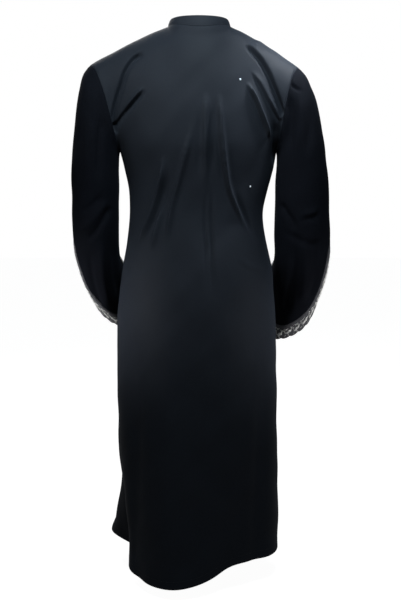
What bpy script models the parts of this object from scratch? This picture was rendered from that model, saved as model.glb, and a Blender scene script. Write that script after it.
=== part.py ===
"""A full-length abaya with a stand collar and bell sleeves, hollow, in its worn form.

Metres, +Z up. The garment's back faces -Y and its front faces +Y, and the wearer's right is +X. The origin is
midway between the two points where the shoulder seams meet the neck, where the wearer's shoulders hold the
cloth up. Each piece that is cut and sewn is one object: an open surface, lofted through sections, with a
Solidify wall.
"""

import math
from collections import namedtuple

import bpy
import numpy as np

# Cloth and seams
CLOTH_WALL = 0.0016
NET_WALL = 0.0012
COLLAR_WALL = 0.0022
SEAM_GAP = 0.0006  # between two panels that are sewn edge to edge
ARMHOLE_GAP_MOST = 0.0019  # a sleeve's gap to the armhole where the cloth turns the most
BORDER_GAP = 0.0011  # between a sleeve and its border, whose walls lean apart round the elbow
BORDER_WIDTH = 0.058
COLLAR_HEIGHT_BACK = 0.0245
COLLAR_HEIGHT_FRONT = 0.014  # from the sides of the neck to the centre front
COLLAR_TAPER = 4  # a higher power keeps the extra height nearer the centre back
COLLAR_LEAN = 0.20  # how far it leans in for each metre of height
COLLAR_OPENING = 0.006  # between the collar's ends
COLLAR_END_DROP = 0.35  # the share of its height that each end loses where it is rounded off

# How fine the surfaces are. The narrow strip beside each seam gives the wall its true direction there.
NECK_COLUMNS = 6
SHOULDER_COLUMNS = 7
SKIRT_ROWS = 22
YOKE_ROWS = 14
SLEEVE_ROWS = 16
BORDER_ROWS = 3
SEAM_SMOOTHING = 6  # rounds of averaging that keep the border's seam an even curve
COLLAR_ROWS = 2
LINE_STEPS = 300  # places along a sleeve's lengthwise line before it is cut into rows
STRIP = 0.003
STRIP_SHARE = 0.012

# The body below the armholes, as level sections. left, right, back and front are how far each side lies from
# the middle, and seam_y is where the side seams run.
Section = namedtuple("Section", "z left right back front seam_y")
SECTIONS = (
    Section(-1.400, 0.206, 0.214, 0.182, 0.235, 0.040),
    Section(-1.250, 0.209, 0.214, 0.170, 0.215, 0.036),
    Section(-1.100, 0.211, 0.211, 0.160, 0.195, 0.030),
    Section(-0.910, 0.212, 0.207, 0.147, 0.172, 0.022),
    Section(-0.750, 0.210, 0.202, 0.137, 0.152, 0.015),
    Section(-0.660, 0.203, 0.196, 0.129, 0.140, 0.010),
    Section(-0.590, 0.191, 0.188, 0.117, 0.130, 0.007),
    Section(-0.530, 0.182, 0.174, 0.104, 0.122, 0.005),
    Section(-0.455, 0.173, 0.166, 0.091, 0.117, 0.002),
    Section(-0.405, 0.176, 0.176, 0.092, 0.119, 0.000),
    Section(-0.375, 0.1805, 0.185, 0.096, 0.122, 0.000),
    Section(-0.345, 0.188, 0.193, 0.102, 0.124, 0.000),
    Section(-0.305, 0.1975, 0.1985, 0.112, 0.126, 0.000),
)
UNDERARM = SECTIONS[-1]
HEM = SECTIONS[0]

# Soft folds of the skirt. angle is degrees round from the centre back, to the right. inward is the depth at
# the hem, and a ridge has a negative one. A fold starts at the height top and is full at the height full.
Fold = namedtuple("Fold", "angle width inward top full")
FOLDS = (
    Fold(-117, 18, -0.064, -1.12, -1.42),
    Fold(-86, 15, 0.034, -1.10, -1.38),
    Fold(-50, 9, 0.009, -0.80, -1.20),
    Fold(-18, 14, -0.006, -0.75, -1.30),
    Fold(26, 30, 0.046, -0.85, -1.40),
    Fold(53, 9, 0.009, -0.80, -1.20),
    Fold(82, 45, -0.003, -1.00, -1.38),
    Fold(118, 11, 0.014, -0.70, -1.25),
    Fold(146, 12, 0.018, -0.62, -1.20),
    Fold(-146, 12, 0.018, -0.62, -1.20),
    Fold(170, 14, -0.008, -0.70, -1.25),
)

# How far the hem lies above its lowest level, at angles round from the centre back
HemLift = namedtuple("HemLift", "angle lift")
HEM_LIFTS = (
    HemLift(-180, 0.034),
    HemLift(-112, 0.045),
    HemLift(-86, 0.034),
    HemLift(-56, 0.003),
    HemLift(-20, 0.000),
    HemLift(12, 0.020),
    HemLift(27, 0.037),
    HemLift(60, 0.042),
    HemLift(90, 0.038),
    HemLift(140, 0.034),
    HemLift(180, 0.034),
)
LIFT_TOP = -0.95  # the level over which the cloth doesn't follow the hem's lift

# The yoke, above the armholes
NECK_LEFT = (-0.075, 0.000, 0.000)
NECK_RIGHT = (0.081, 0.000, 0.000)
TIP_LEFT = (-0.273, 0.000, -0.0965)
TIP_RIGHT = (0.256, 0.000, -0.103)
SHOULDER_BOW = {"left": 0.004, "right": 0.005}  # how far a seam's middle rises over the straight line
NECK_SHARE = 0.3  # how much of the way from the middle to the side seam the neckline takes
NECK_RISE = {"back": 0.055, "front": -0.008}  # the height of the form in the middle of the neck hole
NECK_DEPTH = {"back": 0.062, "front": 0.069}  # how far the hole reaches to the back and to the front
NECK_STEPS = 200  # places along a column where the hole's edge is looked for, in its upper part
NECK_LOWEST = 0.4
EDGE_TAPER = 5  # a higher power keeps the armhole's own tangents nearer the armhole
LAP_RAMP = 0.10  # the width over which the underlap steps in under the right front

# The way that the cloth leaves the underarm level and reaches the neck, shoulder or armhole, as Hermite
# tangents. The y is towards the front on the back panel and towards the back on the front panels.
Rise = namedtuple("Rise", "leave_x leave_y leave_z reach_x reach_y reach_z")
RISES = {
    "back": {
        "middle": Rise(0.0, -0.040, 0.300, 0.0, 0.235, 0.000),
        "shoulder": Rise(0.0, -0.050, 0.260, 0.0, 0.235, 0.000),
        "edge": Rise(0.0, -0.275, 0.030, 0.10, 0.240, -0.050),
    },
    "front": {
        "middle": Rise(0.0, -0.020, 0.240, 0.0, 0.200, 0.020),
        "shoulder": Rise(0.0, -0.020, 0.280, 0.0, 0.235, 0.000),
        "edge": Rise(-0.03, -0.235, 0.030, 0.13, 0.215, -0.060),
    },
}

# The sleeves, as slanted rings. outer and inner are the ring's points farthest from and nearest to the body,
# given as x, y, z with x away from the body. half_y and half_z lead from its middle to its front, or upper,
# point.
Ring = namedtuple("Ring", "outer inner half_y half_z")
SLEEVE_RINGS = {
    "right": (
        Ring((0.2720, 0.000, -0.124), (0.2000, 0.000, -0.318), 0.067, 0.000),
        Ring((0.2885, 0.000, -0.158), (0.1995, 0.000, -0.338), 0.070, 0.000),
        Ring((0.3090, 0.000, -0.235), (0.1970, 0.000, -0.378), 0.073, 0.002),
        Ring((0.3295, 0.000, -0.365), (0.1965, 0.000, -0.448), 0.073, 0.006),
        Ring((0.3365, 0.000, -0.485), (0.1955, 0.002, -0.518), 0.071, 0.020),
        Ring((0.3395, 0.006, -0.550), (0.1970, 0.020, -0.580), 0.068, 0.044),
        Ring((0.3370, 0.018, -0.585), (0.1920, 0.078, -0.644), 0.050, 0.078),
    ),
    "left": (
        Ring((0.2880, 0.000, -0.119), (0.1995, 0.000, -0.318), 0.067, 0.000),
        Ring((0.2975, 0.000, -0.155), (0.2000, 0.000, -0.338), 0.070, 0.000),
        Ring((0.3100, 0.000, -0.235), (0.2005, 0.000, -0.378), 0.073, 0.002),
        Ring((0.3210, 0.000, -0.365), (0.2015, 0.000, -0.448), 0.072, 0.006),
        Ring((0.3200, 0.000, -0.485), (0.2025, 0.002, -0.518), 0.070, 0.020),
        Ring((0.3185, 0.006, -0.545), (0.2015, 0.020, -0.578), 0.066, 0.042),
        Ring((0.3110, 0.018, -0.577), (0.1940, 0.075, -0.640), 0.048, 0.072),
    ),
}

# The sleeves' open ends, round from the outer point over the forearm: x away from the body, y, z
RIMS = {
    "right": {
        "outer": (0.3304, 0.030, -0.598),
        "outer top": (0.2940, 0.124, -0.546),
        "top": (0.2360, 0.192, -0.572),
        "inner top": (0.1880, 0.216, -0.648),
        "inner": (0.1670, 0.214, -0.710),
        "inner bottom": (0.1760, 0.176, -0.776),
        "bottom": (0.2198, 0.118, -0.811),
        "outer bottom": (0.2960, 0.072, -0.755),
    },
    "left": {
        "outer": (0.3038, 0.030, -0.590),
        "outer top": (0.2760, 0.120, -0.540),
        "top": (0.2300, 0.182, -0.570),
        "inner top": (0.1880, 0.204, -0.645),
        "inner": (0.1660, 0.202, -0.694),
        "inner bottom": (0.1700, 0.166, -0.748),
        "bottom": (0.2045, 0.110, -0.7745),
        "outer bottom": (0.2659, 0.068, -0.721),
    },
}

# Base colour, roughness
COLOURS = {
    "satin_black": ((0.012, 0.013, 0.017), 0.55),
    "matt_black": ((0.006, 0.006, 0.008), 0.80),
    "net_grey": ((0.075, 0.078, 0.085), 0.60),
}
SATIN = "satin_black"
MATT = "matt_black"
NET = "net_grey"


def smoothstep(value):
    """0 below 0, 1 above 1, and a soft S between."""
    value = np.clip(value, 0.0, 1.0)
    return value * value * (3.0 - 2.0 * value)


def unit(vectors):
    """The vectors, each made 1 long."""
    return vectors / np.linalg.norm(vectors, axis=-1, keepdims=True)


def blend(first, second, share):
    """The mix of two arrays, share of the way from the first to the second."""
    return first + (second - first) * share


def curve(knots, rows, at):
    """A smooth curve through rows, one row for each knot, read at the places given."""
    knots = np.asarray(knots, float)
    rows = np.asarray(rows, float)
    step = np.diff(knots).reshape((-1,) + (1,) * (rows.ndim - 1))
    slope = np.diff(rows, axis=0) / step
    inner = (slope[:-1] * step[1:] + slope[1:] * step[:-1]) / (step[:-1] + step[1:])
    tangent = np.concatenate([slope[:1], inner, slope[-1:]])
    place = np.clip(np.searchsorted(knots, at, side="right") - 1, 0, len(knots) - 2)
    width = (knots[place + 1] - knots[place]).reshape((-1,) + (1,) * (rows.ndim - 1))
    t = ((at - knots[place]) / width.reshape(-1)).reshape(width.shape)
    return (
        rows[place] * (1 + 2 * t) * (1 - t) ** 2
        + tangent[place] * width * t * (1 - t) ** 2
        + rows[place + 1] * (3 - 2 * t) * t**2
        + tangent[place + 1] * width * (t - 1) * t**2
    )


def hermite(start, leave, end, reach, t):
    """The curve from start to end that leaves and arrives along the two tangents."""
    return (
        start * (1 + 2 * t) * (1 - t) ** 2
        + leave * t * (1 - t) ** 2
        + end * (3 - 2 * t) * t**2
        + reach * (t - 1) * t**2
    )


def ring_angle(face, across):
    """Degrees round from the centre back, for a place across a panel, from -1 to 1."""
    if face == "back":
        return 90.0 * across
    return 180.0 - 90.0 * across


def skirt(face, across, levels):
    """The body below the armholes: an ellipse at each level, sized by SECTIONS, with FOLDS pressed in."""
    table = np.array(SECTIONS)
    section = Section(*curve(table[:, 0], table, levels).T[:, :, None])
    turn = math.pi / 2 * across
    middle = (section.right - section.left) / 2
    x = middle + (section.right + section.left) / 2 * np.sin(turn)
    reach = section.front - section.seam_y if face == "front" else -section.back - section.seam_y
    y = section.seam_y + reach * np.cos(turn)
    z = levels[:, None] + 0.0 * x
    angle = np.radians(ring_angle(face, across))
    lifts = np.array(HEM_LIFTS)
    lift = curve(lifts[:, 0], lifts[:, 1], (np.degrees(angle) + 180.0) % 360.0 - 180.0)
    z = z + lift * smoothstep((LIFT_TOP - z) / (LIFT_TOP - HEM.z))
    for fold in FOLDS:
        away = (np.degrees(angle) - fold.angle + 180.0) % 360.0 - 180.0
        shape = np.exp(-((away / fold.width) ** 2))
        grown = smoothstep((fold.top - levels[:, None]) / (fold.top - fold.full))
        x = x - fold.inward * shape * grown * np.sin(angle)
        y = y + fold.inward * shape * grown * np.cos(angle)
    return np.stack([x, y, z], axis=-1)


def top_line(face, across):
    """Where the back and front forms meet: the shoulder seams, and a saddle between them over the neck hole."""
    size = np.abs(across)[:, None]
    is_right = (across >= 0)[:, None]
    neck = np.where(is_right, NECK_RIGHT, NECK_LEFT)
    tip = np.where(is_right, TIP_RIGHT, TIP_LEFT)
    share = (size - NECK_SHARE) / (1 - NECK_SHARE)
    seam = blend(neck, tip, share)
    bow = np.where(is_right, SHOULDER_BOW["right"], SHOULDER_BOW["left"])
    seam[:, 2:] += bow * 4 * share * (1 - share)
    middle = np.array([(NECK_LEFT[0] + NECK_RIGHT[0]) / 2, 0.0, NECK_RISE[face]])
    saddle = blend(middle, neck, size / NECK_SHARE)
    saddle[:, 2:] = blend(middle[2], neck[:, 2:], (size / NECK_SHARE) ** 2)
    return np.where(size > NECK_SHARE, seam, saddle)


def neck_cut(face, columns, heights):
    """The height at which each column of the yoke reaches the neck hole, an ellipse seen from above."""
    middle = (NECK_LEFT[0] + NECK_RIGHT[0]) / 2
    half = (NECK_RIGHT[0] - NECK_LEFT[0]) / 2
    beyond = ((columns[..., 0] - middle) / half) ** 2 + (columns[..., 1] / NECK_DEPTH[face]) ** 2 - 1
    late = heights > NECK_LOWEST
    return np.array([np.interp(0, -column[late], heights[late]) for column in beyond.T])


def rise_at(face, across, end):
    """The tangent at one end of each column of the yoke, mixed from its middle, shoulder and edge values."""
    size = np.abs(across)[:, None]
    side = np.sign(across)[:, None]
    forward = 1.0 if face == "back" else -1.0
    mixed = []
    for name in ("middle", "shoulder", "edge"):
        rise = RISES[face][name]
        values = rise[:3] if end == "leave" else rise[3:]
        mixed.append(np.array(values) * np.concatenate([side, 0 * side + forward, 0 * side + 1], axis=1))
    near_neck = blend(mixed[0], mixed[1], smoothstep(size / NECK_SHARE))
    return blend(near_neck, mixed[2], size**EDGE_TAPER)


def yoke(face, across, heights):
    """The body above the armholes, column by column, from the underarm level to the neck and shoulders."""
    start = skirt(face, across, np.array([UNDERARM.z]))[0]
    end = top_line(face, across)
    leave = rise_at(face, across, "leave")
    reach = rise_at(face, across, "reach")
    fine = np.linspace(0, 1, NECK_STEPS)
    stop = neck_cut(face, hermite(start, leave, end, reach, fine[:, None, None]), fine)
    stop = np.where(np.abs(across) < NECK_SHARE, stop, 1.0)
    return hermite(start, leave, end, reach, heights[:, None, None] * stop[:, None])


def way_across(face, across, heights):
    """The unit direction in which a panel reaches its armhole edge, which is at across = 1 or -1."""
    strip = yoke(face, np.array([across * (1 - STRIP_SHARE), across]), heights)
    return unit(strip[:, 1] - strip[:, 0])


def half_columns():
    """Places across half a panel, from its middle to its side seam, with one at the neck's corner."""
    neck = NECK_SHARE * np.sin(np.linspace(0, math.pi / 2, NECK_COLUMNS + 1))
    shoulder = np.linspace(NECK_SHARE, 1, SHOULDER_COLUMNS + 1)[1:-1]
    return np.concatenate([neck, shoulder, [1 - STRIP_SHARE, 1]])


def panel(face, across):
    """A whole panel from its hem to its top edge, as rows of points."""
    levels = np.linspace(HEM.z, UNDERARM.z, SKIRT_ROWS + 1)
    heights = np.linspace(0, 1, YOKE_ROWS + 1)[1:-1]
    heights = np.concatenate([heights, [1 - STRIP_SHARE, 1]])
    return np.concatenate([skirt(face, across, levels), yoke(face, across, heights)])


def pull_in(grid, distance, edges):
    """The grid with the named edges moved in towards their neighbours, which leaves a seam's gap."""
    grid = grid.copy()
    sides = {"first row": (0, 1), "last row": (-1, -2)}
    for edge in edges:
        view = grid if edge.endswith("row") else grid.swapaxes(0, 1)
        outer, inner = sides[edge.replace("column", "row")]
        view[outer] += unit(view[inner] - view[outer]) * distance
    return grid


def normals(grid):
    """The unit normal at each point of a grid, from the ways along its columns and rows."""
    return unit(np.cross(np.gradient(grid, axis=1), np.gradient(grid, axis=0)))


def back_panel():
    half = half_columns()
    across = np.concatenate([-half[:0:-1], half])
    edges = ("first column", "last column", "last row")
    return pull_in(panel("back", across), SEAM_GAP / 2, edges)


def front_panel(side):
    """One front, from its side seam to just past the centre. The left one steps in under the right one."""
    lap = half_columns()[1]
    across = np.concatenate([[-lap], half_columns()])
    if side == "right":
        grid = panel("front", across[::-1])
        return pull_in(grid, SEAM_GAP / 2, ("first column", "last row"))
    across = -across
    grid = pull_in(panel("front", across), SEAM_GAP / 2, ("last column", "last row"))
    under = smoothstep((across + lap + LAP_RAMP) / LAP_RAMP)[None, :, None]
    return grid - normals(grid) * under * (CLOTH_WALL + SEAM_GAP)


def neckline():
    """The neck seam at the panels' own columns, from the centre front round the back, left side first."""
    half = half_columns()[: NECK_COLUMNS + 1]
    top = np.array([1.0])
    front_left = yoke("front", -half[:-1], top)[0]
    back = yoke("back", np.concatenate([-half[:0:-1], half]), top)[0]
    front_right = yoke("front", half[-2::-1], top)[0]
    return np.concatenate([front_left, back, front_right])


def collar_band():
    """A stand band on the neck seam, lower at the front and rounded off at its ends."""
    base = neckline()
    share = np.abs(np.linspace(-1, 1, len(base)))[:, None]
    inwards = unit((base.mean(axis=0) - base) * (1, 1, 0))
    backness = np.cos(math.pi * np.minimum(share, 0.5)) ** COLLAR_TAPER
    height = blend(COLLAR_HEIGHT_FRONT, COLLAR_HEIGHT_BACK, backness)
    height[[0, -1]] *= 1 - COLLAR_END_DROP
    way = inwards * COLLAR_LEAN + (0, 0, 1)
    rows = [base + (0, 0, SEAM_GAP) + way * height * t for t in np.linspace(0, 1, COLLAR_ROWS + 1)]
    return pull_in(np.array(rows), COLLAR_OPENING / 2, ("first column", "last column"))


def armhole(side):
    """The armhole's edge from the shoulder tip round by the front, at the heights of the yoke's rows."""
    across = np.array([1.0 if side == "right" else -1.0])
    heights = np.linspace(0, 1, YOKE_ROWS + 1)
    front = yoke("front", across, heights)[::-1, 0]
    back = yoke("back", across, heights)[1:-1, 0]
    return np.concatenate([front, back])


def turns_of(loop):
    """The angle of each point of the armhole, which its line keeps: 0 at the tip and pi at the underarm."""
    tip = loop[0]
    underarm = loop[YOKE_ROWS]
    half = (tip - underarm) / 2
    cos = (loop - (tip + underarm) / 2) @ half / (half @ half)
    depth = np.where(loop[:, 1] > 0, loop[:, 1].max(), -loop[:, 1].min())
    return np.arctan2(loop[:, 1] / depth, cos) % (2 * math.pi)


def slanted_ring(ring, turns):
    """An ellipse through a Ring's outer, front, inner and back points."""
    outer = np.array(ring.outer)
    inner = np.array(ring.inner)
    half = np.array([0.0, ring.half_y, ring.half_z])
    cos = np.cos(turns)[:, None]
    sin = np.sin(turns)[:, None]
    return (outer + inner) / 2 + (outer - inner) / 2 * cos + half * sin


def rim_loop(side, turns):
    """The closed curve through the named points of a sleeve's open end."""
    rows = np.array(list(RIMS[side].values()))
    count = len(rows)
    knots = np.arange(-2, count + 3)
    return curve(knots, rows[knots % count], turns / (2 * math.pi) * count)


def sleeve_lines(side):
    """Each lengthwise line of a sleeve, from the armhole to its open end, as evenly spaced points."""
    mirror = np.array([1.0 if side == "right" else -1.0, 1.0, 1.0])
    rings = [armhole(side) * mirror]
    turns = turns_of(rings[0])
    rings += [slanted_ring(ring, turns) for ring in SLEEVE_RINGS[side]]
    rings.append(rim_loop(side, turns))
    rings = np.array(rings)
    spans = np.linalg.norm(np.diff(rings, axis=0), axis=-1).mean(axis=1)
    knots = np.concatenate([[0], np.cumsum(spans)])
    fine = curve(knots, rings, np.linspace(0, knots[-1], LINE_STEPS))
    return fine * mirror


def lengths_of(lines):
    """How far along its line each point lies."""
    steps = np.linalg.norm(np.diff(lines, axis=0), axis=-1)
    return np.concatenate([np.zeros((1, lines.shape[1])), np.cumsum(steps, axis=0)])


def cut_lines(lines, firsts, lasts, rows):
    """Rows of points between two distances along each line, with a narrow strip at both ends."""
    lengths = lengths_of(lines)
    grid = np.empty((rows + 3, lines.shape[1], 3))
    for column in range(lines.shape[1]):
        evenly = np.linspace(firsts[column] + STRIP, lasts[column] - STRIP, rows + 1)
        places = np.concatenate([[firsts[column]], evenly, [lasts[column]]])
        for axis in range(3):
            grid[:, column, axis] = np.interp(places, lengths[:, column], lines[:, column, axis])
    return grid


def squareness(edge, ways):
    """The sine of the angle at which lengthwise lines, going these ways, cross a closed edge."""
    along = unit(np.roll(edge, -1, axis=0) - np.roll(edge, 1, axis=0))
    return np.linalg.norm(np.cross(along, ways), axis=-1)


def armhole_gaps(side, lines):
    """The gap that each line of the sleeve leaves at the armhole, wider where the cloth turns."""
    across = 1.0 if side == "right" else -1.0
    heights = np.linspace(0, 1, YOKE_ROWS + 1)
    front = way_across("front", across, heights)[::-1]
    back = way_across("back", across, heights)[1:-1]
    body_ways = np.concatenate([front, back])
    ways = unit(lines[1] - lines[0])
    turn_sine = np.linalg.norm(np.cross(body_ways, ways), axis=-1)
    gaps = (SEAM_GAP / 2 + CLOTH_WALL * turn_sine) / squareness(lines[0], ways)
    return np.minimum(gaps, ARMHOLE_GAP_MOST)


def border_seam(lines):
    """How far along each line the border begins, and the gap there, both measured square to the edge."""
    square = squareness(lines[-1], unit(lines[-1] - lines[-2]))
    for _ in range(SEAM_SMOOTHING):
        square = (np.roll(square, 1) + 2 * square + np.roll(square, -1)) / 4
    return lengths_of(lines)[-1] - BORDER_WIDTH / square, BORDER_GAP / square


def sleeve_grid(side):
    lines = sleeve_lines(side)
    seam, gap = border_seam(lines)
    return cut_lines(lines, armhole_gaps(side, lines), seam - gap, SLEEVE_ROWS)


def border_grid(side):
    lines = sleeve_lines(side)
    return cut_lines(lines, border_seam(lines)[0], lengths_of(lines)[-1], BORDER_ROWS)


def faces_of(rows, columns, closed):
    """The quads between neighbouring rows and columns. A closed grid joins its last column to its first."""
    count = columns if closed else columns - 1
    row, column = np.meshgrid(np.arange(rows - 1), np.arange(count), indexing="ij")
    below = row * columns
    above = below + columns
    after = (column + 1) % columns
    quads = np.stack([below + column, below + after, above + after, above + column], axis=-1)
    return quads.reshape(-1, 4).tolist()


def material(name):
    found = bpy.data.materials.get(name)
    if found:
        return found
    made = bpy.data.materials.new(name)
    made.use_nodes = True
    colour, roughness = COLOURS[name]
    shader = made.node_tree.nodes["Principled BSDF"]
    shader.inputs["Base Color"].default_value = (*colour, 1.0)
    shader.inputs["Roughness"].default_value = roughness
    made.diffuse_color = (*colour, 1.0)
    return made


def cloth(name, grid, wall, colour, collection, closed=False, turned=False):
    """One piece of the garment: the grid's surface, with a wall on its inner side."""
    faces = faces_of(grid.shape[0], grid.shape[1], closed)
    if turned:
        faces = [face[::-1] for face in faces]
    mesh = bpy.data.meshes.new(name)
    mesh.from_pydata(grid.reshape(-1, 3).tolist(), [], faces)
    mesh.shade_smooth()
    mesh.materials.append(material(colour))
    piece = bpy.data.objects.new(name, mesh)
    collection.objects.link(piece)
    solidify = piece.modifiers.new("Wall", "SOLIDIFY")
    solidify.thickness = wall
    solidify.offset = -1.0
    solidify.use_quality_normals = True
    return piece


def main():
    for found in list(bpy.data.objects):
        bpy.data.objects.remove(found)
    abaya = bpy.data.collections.new("abaya")
    bpy.context.scene.collection.children.link(abaya)
    cloth("back", back_panel(), CLOTH_WALL, SATIN, abaya)
    cloth("front_right", front_panel("right"), CLOTH_WALL, SATIN, abaya)
    cloth("front_left", front_panel("left"), CLOTH_WALL, SATIN, abaya)
    cloth("collar", collar_band(), COLLAR_WALL, SATIN, abaya)
    for side in ("right", "left"):
        turned = side == "right"
        cloth(f"sleeve_{side}", sleeve_grid(side), CLOTH_WALL, MATT, abaya, closed=True, turned=turned)
        border = border_grid(side)
        cloth(f"sleeve_border_{side}", border, NET_WALL, NET, abaya, closed=True, turned=turned)


main()
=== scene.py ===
# %% [markdown]
# # A black abaya in its worn form, seen from behind
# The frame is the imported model: eight plain closed solids, one for each piece that is cut and sewn. This
# lesson puts a thin shell of cloth in the place of each one. The shells are worked out from the same
# sections as the solids, on finer grids, and then get what the solids leave out: creases, turned edges,
# stitches, the net border with its embroidery, and the look of each cloth. Lengths are in metres, and in
# millimetres where a table says mm.

import math
from collections import namedtuple

import bmesh
import bpy
import numpy as np
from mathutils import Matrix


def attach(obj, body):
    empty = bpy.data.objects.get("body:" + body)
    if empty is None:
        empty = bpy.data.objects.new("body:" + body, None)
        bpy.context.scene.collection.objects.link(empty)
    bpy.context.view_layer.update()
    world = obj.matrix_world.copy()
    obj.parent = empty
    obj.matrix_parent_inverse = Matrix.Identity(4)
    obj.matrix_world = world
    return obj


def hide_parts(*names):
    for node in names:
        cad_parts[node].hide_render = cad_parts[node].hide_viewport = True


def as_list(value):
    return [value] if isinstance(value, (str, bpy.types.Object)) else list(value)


MM_IN_M = 1000
SIDES = {"right": 1.0, "left": -1.0}  # the side of x on which each sleeve and front lies
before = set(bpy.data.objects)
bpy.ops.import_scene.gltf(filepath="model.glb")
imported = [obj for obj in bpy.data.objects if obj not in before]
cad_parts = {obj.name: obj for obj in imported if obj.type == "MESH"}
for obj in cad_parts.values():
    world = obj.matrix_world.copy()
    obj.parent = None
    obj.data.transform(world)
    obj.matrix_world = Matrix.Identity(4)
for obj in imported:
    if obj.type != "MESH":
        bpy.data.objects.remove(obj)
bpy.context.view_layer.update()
print("pieces in the frame:", ", ".join(sorted(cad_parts)))

# %% [markdown]
# ## The camera
# The garment is seen from behind, from a little above the waist and 2.5 m away, with a slight downward
# tilt. A camera that stands level would show the hem's front higher and its back lower than they are here.
# The small shift keeps the garment's middle a little left of the picture's. The standard view keeps white
# paper white and black cloth black.

# %% The camera
EYE = (0.0, -2.5, -0.34)
TILT_DEGREES = 82.1
LENS_MM = 58.56
SIDE_SHIFT = 0.0042

camera_data = bpy.data.cameras.new("camera")
camera_data.lens = LENS_MM
camera_data.shift_x = SIDE_SHIFT
camera = bpy.data.objects.new("camera", camera_data)
camera.location = EYE
camera.rotation_euler = (math.radians(TILT_DEGREES), 0.0, 0.0)
bpy.context.scene.collection.objects.link(camera)
bpy.context.scene.camera = camera
bpy.context.scene.view_settings.view_transform = "Standard"
print("camera at", EYE, "with a lens of", LENS_MM, "mm")

# %% [markdown]
# ## Curves and blends
# Cloth has no corners, so every form here is a smooth curve between a few measured places. A few small
# helpers are enough, and each works on whole arrays, so a surface of fifty thousand points takes one call.


# %% Curves and blends
def smoothstep(value):
    """0 below 0, 1 above 1, and a soft S between."""
    value = np.clip(value, 0.0, 1.0)
    return value * value * (3.0 - 2.0 * value)


def unit(vectors):
    """Each vector divided by its length."""
    return vectors / np.linalg.norm(vectors, axis=-1, keepdims=True)


def blend(first, second, share):
    """The first array plus share times the way to the second."""
    return first + (second - first) * share


def hermite(start, leave, end, reach, t):
    """The cubic from start to end whose slope is leave at t = 0 and reach at t = 1."""
    first = start * (1 + 2 * t) * (1 - t) ** 2 + leave * t * (1 - t) ** 2
    return first + end * (3 - 2 * t) * t**2 + reach * (t - 1) * t**2


def curve(knots, rows, at):
    """A cubic between each two rows. The slope at a row is the mean of its neighbours' slopes, by
    distance."""
    knots = np.asarray(knots, float)
    rows = np.asarray(rows, float)
    column = (-1,) + (1,) * (rows.ndim - 1)
    step = np.diff(knots).reshape(column)
    slope = np.diff(rows, axis=0) / step
    inner = (slope[:-1] * step[1:] + slope[1:] * step[:-1]) / (step[:-1] + step[1:])
    tangent = np.concatenate([slope[:1], inner, slope[-1:]])
    place = np.clip(np.searchsorted(knots, at, side="right") - 1, 0, len(knots) - 2)
    width = (knots[place + 1] - knots[place]).reshape(column)
    t = ((at - knots[place]) / width.reshape(-1)).reshape(width.shape)
    return hermite(rows[place], tangent[place] * width, rows[place + 1], tangent[place + 1] * width, t)


def distances(points):
    """How far along each column of points every point lies: the running sum of the steps' lengths."""
    steps = np.linalg.norm(np.diff(points, axis=0), axis=-1)
    return np.concatenate([np.zeros((1,) + steps.shape[1:]), np.cumsum(steps, axis=0)])


def length_of(line):
    """How far along one line every point lies."""
    return distances(line[:, None])[:, 0]


quarter = curve([0, 1, 2], [0, 1, 0], np.array([0.5]))[0]
print("a curve through 0, 1, 0 is", float(quarter), "a quarter of the way")

# %% [markdown]
# ## The body below the armholes
# A worn abaya hangs from the shoulders, touches the body at the shoulder blades, the waist and the hips,
# and falls straight from there. Its level sections are near ellipses, so a table of them, read as a smooth
# curve, gives the whole skirt. A few wide folds are then pressed in towards the hem, and the hem is lifted
# where the real one rises.

# %% The body below the armholes
Section = namedtuple("Section", "z left right back front seam_y")
SECTIONS = np.array((  # mm, in the order of the names above
    (-1400, 206, 214, 182, 235, 40),
    (-1250, 209, 214, 170, 215, 36),
    (-1100, 211, 211, 160, 195, 30),
    (-910, 212, 207, 147, 172, 22),
    (-750, 210, 202, 137, 152, 15),
    (-660, 203, 196, 129, 140, 10),
    (-590, 191, 188, 117, 130, 7),
    (-530, 182, 174, 104, 122, 5),
    (-455, 173, 166, 91, 117, 2),
    (-405, 176, 176, 92, 119, 0),
    (-375, 180.5, 185, 96, 122, 0),
    (-345, 188, 193, 102, 124, 0),
    (-305, 197.5, 198.5, 112, 126, 0),
)) / MM_IN_M
HEM_Z = SECTIONS[0, 0]
UNDERARM_Z = SECTIONS[-1, 0]

# A fold's angle is in degrees round from the centre back, to the right. Its depth inwards is the one at the
# hem, less than 0 on a ridge. It starts at the height top and is full at the height full.
FOLDS = (  # angle, width, inward, top, full
    (-117, 18, -0.064, -1.12, -1.42),
    (-86, 15, 0.034, -1.10, -1.38),
    (-50, 9, 0.009, -0.80, -1.20),
    (-18, 14, -0.006, -0.75, -1.30),
    (26, 30, 0.046, -0.85, -1.40),
    (53, 9, 0.009, -0.80, -1.20),
    (82, 45, -0.003, -1.00, -1.38),
    (118, 11, 0.014, -0.70, -1.25),
    (146, 12, 0.018, -0.62, -1.20),
    (-146, 12, 0.018, -0.62, -1.20),
    (170, 14, -0.008, -0.70, -1.25),
)
HEM_LIFT_ANGLES = (-180, -112, -86, -56, -20, 12, 27, 60, 90, 140, 180)
HEM_LIFTS = (0.034, 0.045, 0.034, 0.003, 0.000, 0.020, 0.037, 0.042, 0.038, 0.034, 0.034)
LIFT_TOP = -0.95


def within_half_turn(degrees):
    """The same angle, from -180 to 180."""
    return (degrees + 180.0) % 360.0 - 180.0


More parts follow.
